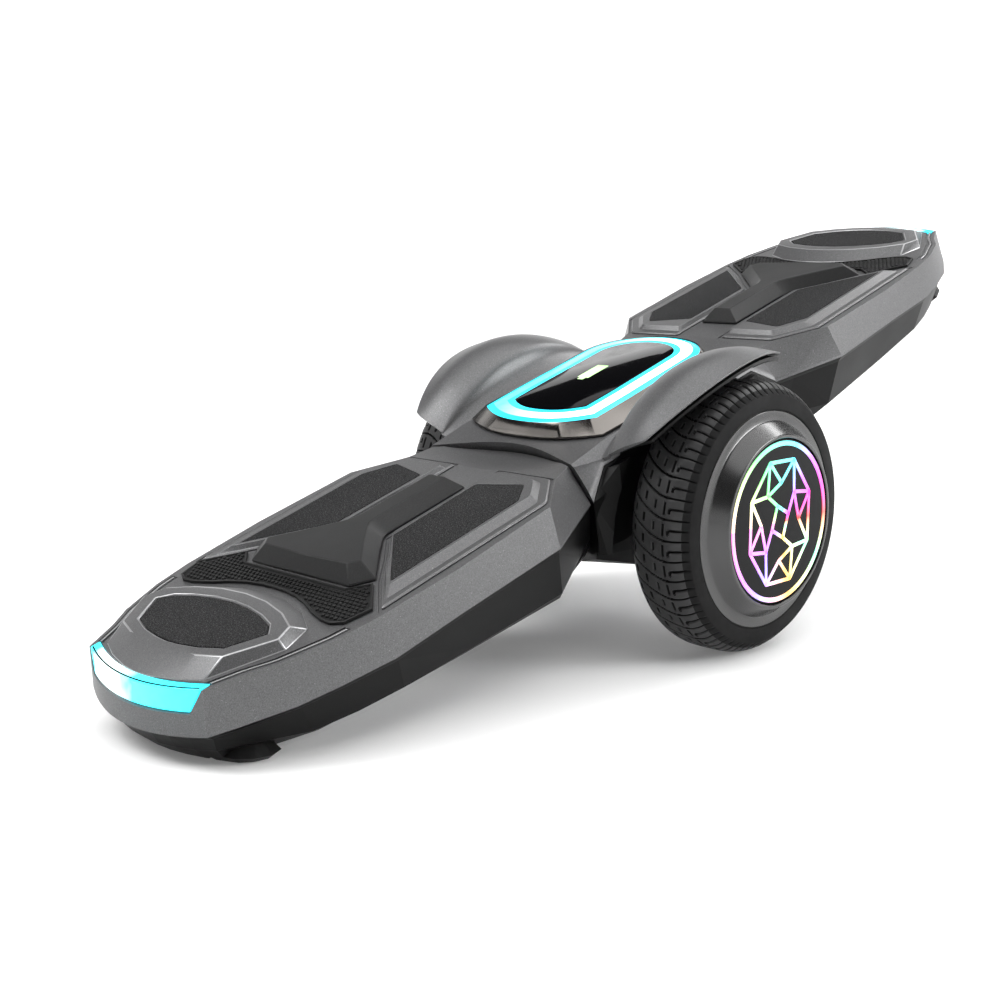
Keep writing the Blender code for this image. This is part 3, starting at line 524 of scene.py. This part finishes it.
def carve(target, bm, matrix):
    """Cut a shape out of a piece and keep only the result."""
    bmesh.ops.recalc_face_normals(bm, faces=bm.faces)
    mesh = bpy.data.meshes.new("cutter")
    bm.to_mesh(mesh)
    bm.free()
    tool = bpy.data.objects.new("cutter", mesh)
    bpy.context.scene.collection.objects.link(tool)
    tool.matrix_world = matrix
    step = target.modifiers.new("carve", "BOOLEAN")
    step.operation = "DIFFERENCE"
    step.solver = "EXACT"
    step.object = tool
    while target.modifiers[0] != step:
        target.modifiers.move(len(target.modifiers) - 1, 0)
    bpy.context.view_layer.update()
    kept = [m for m in target.modifiers if m != step]
    shown = [m.show_viewport for m in kept]
    for m in kept:
        m.show_viewport = False
    graph = bpy.context.evaluated_depsgraph_get()
    baked = bpy.data.meshes.new_from_object(target.evaluated_get(graph))
    for m, show in zip(kept, shown):
        m.show_viewport = show
    target.modifiers.remove(step)
    target.data = baked
    baked.shade_smooth()
    baked.set_sharp_from_angle(angle=math.radians(30))
    bpy.data.objects.remove(tool, do_unlink=True)


# %% [markdown]
# The tyre is a ring whose cross-section is a low arch. Its tread is cut by a formula: for each
# point round and across the tyre, the formula says how deep the rubber is cut there. Curved
# grooves sweep across, dashed sipes run round, and short slots open on the shoulders.

# %% Tyre with tread
TYRE_R = 84.0
TREAD_IN, TREAD_OUT = 80.0, 116.0
PITCHES = 42
STEPS_PER_PITCH = 20
CUT = 2.2


def tyre_crown(y):
    """Radius of the uncut tread across the tyre (mm)."""
    middle = (TREAD_IN + TREAD_OUT) / 2
    half = (TREAD_OUT - TREAD_IN) / 2
    off = abs(y - middle) / half
    return TYRE_R - 4.4 * off**4.5


def notch(distance, half_width):
    """1 inside a groove, 0 outside it, with a steep but not vertical wall."""
    return min(1.0, max(0.0, (half_width + 0.25 - abs(distance)) / 0.35))


def tread_cut(step, y):
    """Depth of the cut (0 to 1) at a step round the tyre and a place across it."""
    pitch_mm = 2 * math.pi * TYRE_R / PITCHES
    across = (y - TREAD_IN) / (TREAD_OUT - TREAD_IN)
    sweep = 1.25 * math.sin(min(1.0, across / 0.8) * math.pi / 2) * pitch_mm
    along = step / STEPS_PER_PITCH * pitch_mm
    place = (along - sweep) % pitch_mm
    deep = notch(min(place, pitch_mm - place), 0.42)
    off_middle = place - pitch_mm / 2
    for line, reach in ((84.6, 2.2), (91.4, 2.6), (98.6, 2.6), (105.4, 3.6)):
        if abs(off_middle) < reach:
            deep = max(deep, notch(y - line, 0.42))
    if y > 108.6:
        deep = max(deep, notch(off_middle, 0.5))
        if y < 109.8 and -0.3 < off_middle < 2.6:
            deep = 1.0
    return deep


def make_tyre(hand):
    rows = [TREAD_IN + (TREAD_OUT - TREAD_IN) * k / 64 for k in range(65)]
    around = PITCHES * STEPS_PER_PITCH
    bm = bmesh.new()
    grid = []
    for y in rows:
        ring = []
        for step in range(around):
            radius = (tyre_crown(y) - CUT * tread_cut(step, y)) * MM
            a = 2 * math.pi * step / around
            ring.append(bm.verts.new((radius * math.cos(a), radius * math.sin(a), y * MM)))
        grid.append(ring)
    for radius, y in ((76.6, 119.2), (75.7, 119.75), (67.4, 119.8), (66.9, 119.4), (66.9, 117.6),
                      (62.6, 115.2),
                      (62.4, 81.5), (64.0, 79.6), (78.0, 79.6)):
        turns = [2 * math.pi * step / around for step in range(around)]
        ring = [(radius * MM * math.cos(a), radius * MM * math.sin(a), y * MM) for a in turns]
        grid.append([bm.verts.new(point) for point in ring])
    for low, high in zip(grid, grid[1:] + grid[:1]):
        skin(bm, low, high)
    made = place_piece(f"tyre_treaded_{hand}", bm, tyre_tread, f"{hand}_wheel", WHEEL[hand],
                       [f"tyre_{hand}"], sharp=35)
    made.data.materials.append(tyre_side)
    # Faces deep in the cuts take the third finish: painted shade in the grooves.
    made.data.materials.append(tyre_groove_painted_shade)
    for face in made.data.polygons:
        middle = face.center
        if middle.z > 117.0 * MM:
            face.material_index = 1
        elif TREAD_IN * MM < middle.z < TREAD_OUT * MM:
            cut_line = tyre_crown(middle.z / MM) - 0.45 * CUT
            if middle.xy.length < cut_line * MM:
                face.material_index = 2
    return made


for hand in ("left", "right"):
    tyre = make_tyre(hand)
print("faces on one tyre:", len(tyre.data.polygons))

# %% [markdown]
# The hub cap is a shallow bell: a flat rim beside the tyre, a rounded flank, and a round ledge
# that frames the lit disc. It is turned in one go from its cross-section.

# %% Hub cap
def arc(centre, radius, start, end, steps):
    """Points of an arc in degrees."""
    turns = [math.radians(start + (end - start) * k / steps) for k in range(steps + 1)]
    return [(centre[0] + radius * math.cos(a), centre[1] + radius * math.sin(a)) for a in turns]


cap_profile = [(50.9, 124.4), (50.9, 129.5), (51.3, 129.9), (52.3, 129.9)]
cap_profile += arc((52.3, 128.6), 1.3, 90, 30, 4)
cap_profile += [(54.6, 127.4), (59.4, 121.0), (60.0, 120.3), (60.9, 119.9), (66.2, 119.7), (66.5, 119.4)]
cap_profile += [(66.5, 118.2), (61.4, 115.9), (60.8, 112.2), (20.0, 112.2), (20.0, 116.0), (40.0, 120.5)]
for hand in ("left", "right"):
    cap = place_piece(f"hub_bell_{hand}", turned(cap_profile), hub_satin, f"{hand}_wheel", WHEEL[hand],
                      [f"hub_cap_{hand}"], sharp=32)
print("faces on one hub cap:", len(cap.data.polygons))

# %% [markdown]
# The disc inside the cap is gloss black with lit lines. The lines here are a plain cut-gem
# figure made for this board: an octagon, a zigzag of facets inside it and a square core. Each
# line is a thin raised bar, so the figure survives in the exported mesh.

# %% Lit disc
def bar_on_disc(bm, start, end, width, low, high):
    """Flat bar between two points (mm) of the disc, with mitred ends."""
    start = Vector(start)
    end = Vector(end)
    along = (end - start).normalized()
    side = Vector((-along.y, along.x)) * width / 2
    nose = along * width / 2
    outline = [start - nose, start - side, end - side, end + nose, end + side, start + side]
    rings = [[bm.verts.new((p.x * MM, p.y * MM, z * MM)) for p in outline] for z in (low, high)]
    skin(bm, *rings)
    bm.faces.new(rings[0][::-1])
    bm.faces.new(rings[1])


def gem_lines():
    def spot(radius, degrees, squeeze=0.82):
        a = math.radians(degrees)
        return (radius * squeeze * math.cos(a), radius * math.sin(a))

    outer = [spot(40, 22.5 + 45 * k) for k in range(8)]
    inner = [spot(24, 45 * k) for k in range(8)]
    core = [spot(11, 22.5 + 90 * k) for k in range(4)]
    lines = [(outer[k], outer[(k + 1) % 8]) for k in range(8)]
    lines += [(inner[k], outer[k]) for k in range(8)] + [(inner[k], outer[k - 1]) for k in range(8)]
    lines += [(core[k], core[(k + 1) % 4]) for k in range(4)]
    lines += [(core[k], inner[(2 * k + 1) % 8]) for k in range(4)]
    lines += [(inner[2 * k], inner[2 * k + 1]) for k in range(4)]
    return lines


for hand in ("left", "right"):
    disc = [(0.0, 125.2), (50.4, 125.2), (50.4, 128.5), (50.0, 128.9), (0.0, 128.9)]
    face = place_piece(f"wheel_disc_{hand}", turned(disc), black_gloss, f"{hand}_wheel", WHEEL[hand],
                       [f"wheel_light_{hand}"], sharp=30)
    ring = turned([(46.4, 128.5), (49.2, 128.5), (49.2, 129.3), (48.9, 129.5), (46.7, 129.5), (46.4, 129.3)])
    place_piece(f"wheel_glow_ring_{hand}", ring, rainbow, f"{hand}_wheel", WHEEL[hand])
    bm = bmesh.new()
    for start, end in gem_lines():
        bar_on_disc(bm, start, end, 2.1, 128.6, 129.35)
    place_piece(f"wheel_glow_lines_{hand}", bm, rainbow, f"{hand}_wheel", WHEEL[hand])
print("bars in one figure:", len(gem_lines()))

# %% [markdown]
# Each footboard is one plan outline seen at two heights: the top face and the lower edge of the
# side band, which flares out a little. The nose is a flat arc. All the rest of the deck is laid
# out inside that outline.

# %% Deck outlines
TOP_SIDE = ((60, 48), (112, 63), (142, 86), (215, 88), (269, 85), (294, 80.5), (320, 71), (334, 62))
BAND_SIDE = ((60, 56), (112, 77), (146, 91), (223, 89), (268, 89), (298, 82), (321, 75), (347, 61))
DECK_TOP = 71.0
PARTING = 48.2
SEAM = ((0, 68.0), (20, 72.0), (36, 79.0), (47, 84.3), (58, 89.8), (68, 94.2), (110, 111.0))


NOSE_HALF = 53.0
LENS_APEX = 365.2


def nose_x(apex, y):
    """Where the lens's face lies at a distance from the middle of the board (mm)."""
    return apex - 11 * (y / NOSE_HALF) ** 2


def nose_arc(apex, drop, half_width, steps=10):
    return [(apex - drop * (k / steps) ** 2, half_width * k / steps) for k in range(steps, -1, -1)]


def deck_top(inward=0.0):
    return [(x, y - inward) for x, y in TOP_SIDE] + nose_arc(365 - inward, 11, NOSE_HALF - inward * 0.6)


def deck_band(inward=0.0):
    return [(x, y - inward) for x, y in BAND_SIDE] + nose_arc(372 - inward, 12, NOSE_HALF - inward * 0.6)


def smooth_seam(steps=5):
    """The seam's profile, with extra points on straight lines between its measured radii."""
    points = []
    for (r0, x0), (r1, x1) in zip(SEAM, SEAM[1:]):
        for k in range(steps):
            points.append((r0 + (r1 - r0) * k / steps, x0 + (x1 - x0) * k / steps))
    return points + [SEAM[-1]]


def seam_tool(shift, far, steps=96):
    """Solid of revolution about the roll axis, up to the seam on one side."""
    bm = bmesh.new()
    profile = [(radius, x + shift) for radius, x in smooth_seam()] + [(SEAM[-1][0], far), (0, far)]
    rings = []
    for radius, x in profile:
        if radius < 1e-6:
            rings.append([bm.verts.new((x * MM, 0, ROLL_Z * MM))])
            continue
        spin = [2 * math.pi * k / steps for k in range(steps)]
        height = [(ROLL_Z + radius * math.sin(a)) * MM for a in spin]
        ring = [(x * MM, radius * MM * math.cos(a), z) for a, z in zip(spin, height)]
        rings.append([bm.verts.new(point) for point in ring])
    for low, high in zip(rings, rings[1:]):
        skin(bm, low, high)
    return bm


print("points in the deck outline:", len(whole(deck_top())))

# %% [markdown]
# On the deck's top, two raised frames hold the side grips. A frame climbs in steps: a thin lip,
# a flat, then one broad bevel on its outer side that catches the light. Insetting the frame's
# own outline by a different amount on each side gives every step with true mitred corners.

# %% Pad frames, boss, mat and spine outlines
FRAME = ((113, 19), (113, 60.5), (138.5, 80.5), (263, 80), (241, 55.5), (220, 36.5), (203, 19))
PAD = ((137, 24), (129, 55), (147, 67), (243, 66.5), (203, 25))
FRAME_STEPS = (
    (0.0, 70.0), (0.0, 71.2), (0.8, 71.9), ((6, 5.5, 5.0, 1.6, 1.6, 1.6, 1.2), 71.9),
    ((8.5, 9, 10.6, 3.4, 3.2, 3.0, 2.6), 74.6), ((9.5, 10, 11.6, 4.2, 4.0, 3.8, 3.2), 74.6),
)
BOSS_LOW = ((359, 0), (358, 12), (354, 30), (348, 45), (311, 63), (292, 57), (282, 40), (276.5, 20),
            (275, 0))
BOSS_HIGH = ((343.5, 0), (342.9, 12), (340, 30), (335, 46), (312, 61), (301, 56), (293.5, 40),
             (288.5, 20), (287, 0))
NOSE_PAD = ((337, 0), (336.3, 10), (334, 24), (329, 39), (311, 50), (304.5, 43), (300, 30), (297, 15),
            (296, 0))
MAT = ((256, 0), (256, 44.5), (246.5, 55.5), (266, 77), (281.5, 73), (285, 66), (284.5, 58), (281, 46),
       (276, 34), (272.5, 22), (270.8, 10), (270.5, 0))
SPINE_LOW = ((138, 0), (138, 15), (199, 15), (203, 16.4), (207, 19), (221, 32), (242, 52.5), (253, 43),
             (253, 0))
SPINE_HIGH = ((144, 0), (144, 6.5), (199, 6.5), (205, 8.2), (210, 12), (224, 25), (240, 41.5),
              (245.5, 36), (247, 0))
SCOOP_X = 70.0
SCOOP_LIFT = 45.5
SCOOP_RADII = (97, 130, 51)


def make_upper_shell(end):
    body = f"{end}_deck"
    rings = [at(whole(deck_band()), PARTING), at(whole(deck_band(0.1)), PARTING + 1.5),
             at(whole(deck_top()), DECK_TOP)]
    shell = place_piece(f"{end}_upper_shell", loft(rings), satin, body, TURNED[end],
                        [f"{end}_deck_upper_shell"], bevel=0.75)
    carve(shell, seam_tool(0, -60), TURNED[end])
    for sign in (1, -1):
        groove = flipped(inset(FRAME, -1.7), sign)
        carve(shell, loft([at(groove, 70.3), at(groove, 90)]), TURNED[end])
    scoop = bmesh.new()
    rx, ry, rz = SCOOP_RADII
    bmesh.ops.create_uvsphere(scoop, u_segments=96, v_segments=64, radius=1.0)
    for vert in scoop.verts:
        vert.co = Vector((SCOOP_X + rx * vert.co.x, ry * vert.co.y,
                          DECK_TOP + SCOOP_LIFT + rz * vert.co.z)) * MM
    carve(shell, scoop, TURNED[end])
    return shell


def make_frames(end):
    body = f"{end}_deck"
    made = []
    for hand, sign in (("left", 1), ("right", -1)):
        rings = []
        for amount, z in FRAME_STEPS:
            rings.append(at(flipped(rounded(inset(FRAME, amount), 2.6), sign), z))
        frame_piece = place_piece(f"{end}_pad_frame_{hand}", loft(rings), satin, body, TURNED[end],
                                  bevel=0.3)
        recess = flipped(rounded(inset(PAD, -0.5), 2.0), sign)
        carve(frame_piece, loft([at(recess, 73.6), at(recess, 90)]), TURNED[end])
        pad = flipped(rounded(PAD, 2.0), sign)
        rings = [at(pad, 73.7), at(pad, 74.5), at(flipped(rounded(inset(PAD, 0.35), 2.0), sign), 74.75)]
        place_piece(f"{end}_side_grip_{hand}", loft(rings), grit, body, TURNED[end],
                    [f"{end}_grip_pad_{hand}"])
        made.append(frame_piece)
    return made


def make_boss(end):
    body = f"{end}_deck"
    low = whole(BOSS_LOW)
    high = whole(BOSS_HIGH)
    rings = [at(low, 69.6), at(low, 71.05), at(high, 77.4)]
    boss = place_piece(f"{end}_nose_boss", loft(rings), satin, body, TURNED[end], bevel=0.7)
    recess = inset(whole(NOSE_PAD), -0.9)
    carve(boss, loft([at(recess, 76.2), at(recess, 90)]), TURNED[end])
    pad = whole(NOSE_PAD)
    rings = [at(pad, 76.2), at(pad, 77.0), at(inset(pad, 0.35), 77.25)]
    place_piece(f"{end}_nose_grip", loft(rings), grit, body, TURNED[end], [f"{end}_nose_pad"])
    return boss


def make_spine(end):
    rings = [at(whole(SPINE_LOW), 71.3), at(whole(SPINE_LOW), 72.4), at(whole(SPINE_HIGH), 80.5)]
    return place_piece(f"{end}_spine", loft(rings), spine_grain, f"{end}_deck", TURNED[end],
                       [f"{end}_deck_spine"], bevel=0.8, sharp=25)


for end in ("front", "rear"):
    shell = make_upper_shell(end)
    frames = make_frames(end)
    boss = make_boss(end)
    make_spine(end)
print("faces on one shell:", len(shell.data.polygons), "frame:", len(frames[0].data.polygons))

# %% [markdown]
# The mat before the spine is moulded rubber with a raised rim and a honeycomb of small studs.
# The studs are real six-sided pegs set out on a hexagonal grid and kept only where they fall
# well inside the mat's outline.

# %% Rubber mat with studs
STUD_PITCH = 3.3


def inside(outline, x, y):
    hits = False
    for (x0, y0), (x1, y1) in zip(outline, outline[1:] + outline[:1]):
        if (y0 > y) != (y1 > y) and x < (x1 - x0) * (y - y0) / (y1 - y0) + x0:
            hits = not hits
    return hits


def make_mat(end):
    outline = whole(MAT)
    rim = inset(outline, 1.1)
    floor_line = inset(outline, 1.5)
    rings = [at(outline, 71.3), at(outline, 72.7), at(inset(outline, 0.3), 72.9), at(rim, 72.9),
             at(floor_line, 72.0)]
    place_piece(f"{end}_mat_base", loft(rings), mat_rubber, f"{end}_deck", TURNED[end],
                [f"{end}_rubber_mat"])
    keep = inset(outline, 2.6)
    bm = bmesh.new()
    row = 0
    x = 246.0
    studs = 0
    while x < 288:
        y = -80.0 + (STUD_PITCH / 2 if row % 2 else 0.0)
        while y < 80:
            if inside(keep, x, y):
                studs += 1
                rings = []
                for z, radius in ((71.9, 1.5), (72.9, 1.15)):
                    spin = [math.radians(60 * k) for k in range(6)]
                    ring = [(x + radius * math.cos(a), y + radius * math.sin(a)) for a in spin]
                    rings.append([bm.verts.new((px * MM, py * MM, z * MM)) for px, py in ring])
                skin(bm, *rings)
                bm.faces.new(rings[0][::-1])
                bm.faces.new(rings[1])
            y += STUD_PITCH
        x += STUD_PITCH * 0.866
        row += 1
    place_piece(f"{end}_mat_studs", bm, mat_rubber, f"{end}_deck", TURNED[end])
    return studs


for end in ("front", "rear"):
    count = make_mat(end)
print("studs on one mat:", count)

# %% [markdown]
# The nose light is a curved bar of lit plastic let into the tip of the deck. It is lofted
# across the nose with short slices, so its slanted ends and its curve come out together.

# %% Nose light
LENS_LOW, LENS_HIGH = 60.0, 71.2
LENS_LOW_HALF, LENS_HIGH_HALF = 44.5, 51.5
SLICES = 16


def nose_bar(front_drop, back_drop, margin, top_margin=0.0):
    """Curved bar in the nose, set back by two depths and grown by a margin (mm)."""
    bars = []
    for k in range(-SLICES, SLICES + 1):
        top_y = (LENS_HIGH_HALF + margin + top_margin) * k / SLICES
        low_y = (LENS_LOW_HALF + margin) * k / SLICES
        top_x = nose_x(LENS_APEX, top_y)
        low_x = nose_x(LENS_APEX + 3, low_y)
        low_z = LENS_LOW - margin
        top_z = LENS_HIGH + top_margin
        quad = [(low_x - front_drop, low_y, low_z), (top_x - front_drop, top_y, top_z)]
        quad += [(top_x - back_drop, top_y, top_z), (low_x - back_drop - 3, low_y, low_z)]
        bars.append(quad)
    return loft(bars)


for end in ("front", "rear"):
    place = TURNED[end]
    shell = bpy.data.objects[f"{end}_upper_shell"]
    carve(shell, nose_bar(-9, 7.1, 0.5, 1.2), place)
    place_piece(f"{end}_nose_lens", nose_bar(0.6, 6.6, 0.0), nose_glow, f"{end}_deck", place,
                [f"{end}_nose_light_lens"], bevel=0.5)
    path = [(nose_x(LENS_APEX, y), y) for y in range(-50, 51, 2)]
    strip = [(x - 1.5, y) for x, y in path] + [(x - 2.4, y) for x, y in reversed(path)]
    place_piece(f"{end}_nose_line", loft([at(strip, 70.8), at(strip, 71.3)]), black_gloss, f"{end}_deck",
                place)
print("nose lights: 2")

# %% [markdown]
# One low trim rib runs back along each edge of the deck from the nose corner, in a shallow
# groove wider than itself. It is the deck's own side line, drawn in by a few millimetres.

# %% Trim ribs
def rib(inward, width, first_x, last_x, low, high, sign):
    """Strip between two insets of the deck's side line, from one x to another."""
    side = [(x, y) for x, y in TOP_SIDE if 269 <= x] + [(354.0, 53.0)]
    path = []
    for k in range(25):
        x = first_x + (last_x - first_x) * k / 24
        for (x0, y0), (x1, y1) in zip(side, side[1:]):
            if x0 <= x <= x1:
                path.append((x, y0 + (y1 - y0) * (x - x0) / (x1 - x0)))
                break
    outer = [(x, sign * (y - inward)) for x, y in path]
    inner = [(x, sign * (y - inward - width)) for x, y in path]
    slope = width * 0.22
    top_outer = [(x, y - sign * slope) for x, y in outer]
    top_inner = [(x, y + sign * slope) for x, y in inner]
    rings = [at(outer + inner[::-1], low), at(top_outer + top_inner[::-1], high)]
    return loft(rings)


for end in ("front", "rear"):
    shell = bpy.data.objects[f"{end}_upper_shell"]
    for hand, sign in (("left", 1), ("right", -1)):
        carve(shell, rib(2.3, 5.6, 283, 349, 70.1, 80, sign), TURNED[end])
        place_piece(f"{end}_trim_rib_{hand}", rib(3.6, 2.1, 284, 348, 70.0, 71.4, sign), satin,
                    f"{end}_deck", TURNED[end],
                    bevel=0.25)
print("trim ribs: 4")

# %% [markdown]
# The centre cover is one grey moulding: a crowned plate under the display and a fender wing over
# each wheel. A wing is a grid of points from a formula. Across, it rises steeply beside the
# tyre, rolls over a ridge and drops to a lip; along, it follows the tyre's arch.

# %% Fender wings
WING_THICK = 2.6


def through(keys, t):
    """Smooth value through (t, value) keys."""
    for i in range(len(keys) - 1):
        t0, v0 = keys[i]
        t1, v1 = keys[i + 1]
        if t <= t1 or i == len(keys) - 2:
            before = keys[i - 1] if i else (2 * t0 - t1, 2 * v0 - v1)
            after = keys[i + 2] if i + 2 < len(keys) else (2 * t1 - t0, 2 * v1 - v0)
            m0 = (v1 - before[1]) / (t1 - before[0]) * (t1 - t0)
            m1 = (after[1] - v0) / (after[0] - t0) * (t1 - t0)
            u = (t - t0) / (t1 - t0)
            value = (2 * u**3 - 3 * u**2 + 1) * v0 + (u**3 - 2 * u**2 + u) * m0
            return value + (3 * u**2 - 2 * u**3) * v1 + (u**3 - u**2) * m1


def wing_point(s, t):
    """Top of a wing (mm): s from -1 at the rear to 1 in front, t from root to lip."""
    bow = s * s
    lip_y, lip_z = 116 - 18 * bow, 98 - 17 * bow
    root_y, root_z = 55 + 11 * bow**2, 73.2 - 5 * bow
    ridge_y, ridge_z = 70.5 + 1.5 * bow, 97 - 26 * abs(s) ** 2.2
    mid_z = (ridge_z + lip_z) / 2 + 4.5 * (1 - bow) + 1.0
    y = through([(0, root_y), (0.2, (root_y + ridge_y) / 2 + 1.5), (0.4, ridge_y),
                 (0.7, (ridge_y + lip_y) / 2), (1, lip_y)], t)
    z = through([(0, root_z), (0.2, (root_z + ridge_z) / 2), (0.4, ridge_z), (0.7, mid_z), (1, lip_z)], t)
    return Vector((s * (75 - 3 * t - 3 * t**8), y, z))


def make_wing(hand, sign):
    along, across = 72, 36
    bm = bmesh.new()
    layers = []
    for depth in (0.0, WING_THICK):
        grid = []
        for i in range(along + 1):
            s = -1 + 2 * i / along
            row = []
            for j in range(across + 1):
                t = 0.995 * j / across
                here = wing_point(s, t)
                run = wing_point(s + 0.01, t) - wing_point(s - 0.01, t)
                rise = wing_point(s, t + 0.01) - wing_point(s, t - 0.01)
                thin = 1 - 0.62 * min(1, max(0, (t - 0.6) / 0.4)) ** 2
                point = here - run.cross(rise).normalized() * depth * thin
                row.append(bm.verts.new((point.x * MM, sign * point.y * MM, point.z * MM)))
            grid.append(row)
        layers.append(grid)
    top, under = layers
    for i in range(along):
        for j in range(across):
            bm.faces.new((top[i][j], top[i + 1][j], top[i + 1][j + 1], top[i][j + 1]))
            bm.faces.new((under[i][j], under[i][j + 1], under[i + 1][j + 1], under[i + 1][j]))
    for i in range(along):
        for j in (0, across):
            bm.faces.new((top[i][j], top[i + 1][j], under[i + 1][j], under[i][j]))
    for j in range(across):
        for i in (0, along):
            bm.faces.new((top[i][j], top[i][j + 1], under[i][j + 1], under[i][j]))
    return place_piece(f"fender_wing_{hand}", bm, satin, "chassis", BOARD, bevel=0.5, sharp=40)


for hand, sign in (("left", 1), ("right", -1)):
    wing = make_wing(hand, sign)
print("faces on one wing:", len(wing.data.polygons))

# %% [markdown]
# The plate between the wings starts as the convex hull of a few corners. The seam solid, the
# wheel arches and the joint with the black housing are then cut from it.

# %% Centre plate
def hull(points):
    bm = bmesh.new()
    for point in points:
        bm.verts.new(Vector(point) * MM)
    done = bmesh.ops.convex_hull(bm, input=bm.verts)
    spare = [v for v in done["geom_interior"] + done["geom_unused"] if isinstance(v, bmesh.types.BMVert)]
    bmesh.ops.delete(bm, geom=list(set(spare)), context="VERTS")
    return bm


corners = [(100, 59.5, 71.2), (100, 72.5, 48.8), (60, 59, 74), (76, 67, 68), (76, 66, 63.6), (60, 59, 63.6)]
plate_points = [(x * sx, y * sy, z) for x, y, z in corners for sx in (1, -1) for sy in (1, -1)]
plate = place_piece("centre_plate", hull(plate_points), satin, "chassis", BOARD,
                    ["centre_top_cover"], bevel=0.7)
# The plate's bevels keep plain satin, without the painted edge highlight.
plate.data.materials[1] = satin
carve(plate, seam_tool(-1.8, 480), BOARD)
carve(plate, seam_tool(-1.8, 480), TURNED["rear"])
below = [(-130, 30), (130, 30), (130, 48.8), (96, 48.8), (76, 64.2), (-76, 64.2), (-96, 48.8), (-130, 48.8)]
carve(plate, loft([[(x, -150, z) for x, z in below], [(x, 150, z) for x, z in below]]), BOARD)
for sign in (1, -1):
    arch = turned([(0.0, 62.8), (88.6, 62.8), (88.6, 200.0), (0.0, 200.0)], 96)
    carve(plate, arch, WHEEL["left" if sign > 0 else "right"])
print("faces on the plate:", len(plate.data.polygons))

# %% [markdown]
# The display is a flat lozenge: bowed in front, straight along its sides, round behind. The
# smoked body flares to its foot, the ring lies in a step, and the glass fills the middle.

# %% Display
def lozenge(front, corner, side, rear_corner, rear, steps=14):
    fx, fy = corner
    half = []
    for k in range(steps):
        y = fy * k / steps
        half.append((front - (front - fx) * (k / steps) ** 2.4, y))
    half.append((fx, fy))
    half.append(side)
    rx, ry = rear_corner
    for k in range(steps + 1):
        a = math.pi / 2 * k / steps
        half.append((rx - (rx - rear) * math.sin(a), ry * math.cos(a)))
    half[-1] = (rear, 0.0)
    return half


RING_OUT = whole(lozenge(67.5, (52, 47), (20, 47.5), (-46, 46.5), -79))
RING_IN = whole(lozenge(52.5, (42, 30.5), (15, 31), (-43, 30), -65))
BEZEL_FOOT = whole(lozenge(73, (59, 56), (30, 58), (-48, 52), -82))


def scaled(outline, other, share):
    return [(x + (u - x) * share, y + (v - y) * share) for (x, y), (u, v) in zip(outline, other)]


lip = inset(RING_OUT, -1.2)
rings = [at(scaled(BEZEL_FOOT, RING_IN, 0.1), 74.6), at(BEZEL_FOOT, 74.9), at(BEZEL_FOOT, 75.9),
         at(lip, 82.6),
         at(inset(RING_OUT, -0.7), 83.1), at(inset(RING_OUT, -0.2), 82.9), at(inset(RING_OUT, -0.2), 79.0)]
place_piece("display_body", loft(rings), smoked, "chassis", BOARD, ["display_bezel"],
            sharp=40)
rings = [at(RING_OUT, 79.2), at(RING_OUT, 82.4), at(scaled(RING_OUT, RING_IN, 0.07), 83.0)]
rings += [at(scaled(RING_OUT, RING_IN, 0.22), 83.5), at(scaled(RING_OUT, RING_IN, 0.26), 83.7)]
rings += [at(scaled(RING_OUT, RING_IN, 0.7), 84.3), at(scaled(RING_OUT, RING_IN, 0.74), 84.3)]
rings += [at(scaled(RING_OUT, RING_IN, 0.97), 84.4)]
outer_ring = place_piece("display_ring", loft(rings), ring_glow, "chassis", BOARD,
                         ["display_light_ring"], sharp=40)
outer_ring.data.materials.append(ring_core)
for face in outer_ring.data.polygons:
    heights = [outer_ring.data.vertices[v].co.z / MM for v in face.vertices]
    if min(heights) > 83.6 and max(heights) < 84.35:
        face.material_index = 1
rings = [at(RING_IN, 79.4), at(RING_IN, 84.5), at(inset(RING_IN, 0.5), 84.8)]
place_piece("display_window", loft(rings), black_gloss, "chassis", BOARD,
            ["display_glass"], sharp=40)
cell = [(-20, -11.5), (1, -11.5), (1, -9.2), (4, -9.2), (4, -4.6), (1, -4.6), (1, -2.4), (-20, -2.4)]
place_piece("battery_symbol", loft([at(cell, 84.7), at(cell, 84.95)]), icon_glow, "chassis", BOARD)
print("display pieces: 4")

# %% [markdown]
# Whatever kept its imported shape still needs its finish. A table of name parts and materials
# dresses all of it in one loop.

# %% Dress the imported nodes
DRESS = {
    "satin_grey": satin, "black_plastic": black_grain, "dark_plastic": spine_grain, "grip_sheet": grit,
    "rubber": mat_rubber, "tyre_rubber": tyre_tread, "dark_chrome": smoked, "black_glass": black_gloss,
    "cyan_light": nose_glow, "wheel_light": black_gloss, "hub_grey": hub_satin, "steel": steel,
    "cast_alloy": cast,
    "copper": copper, "circuit_board": solder_mask, "battery_wrap": shrink_wrap,
}
slots = {entry["node"]: entry["material_slot"] for entry in frame["record"]["subparts"]}
for node, packed in frame["nodes"].items():
    finish = DRESS[slots[node]]
    for holder in packed.material_slots:
        holder.material = finish
print("dressed nodes:", len(slots))
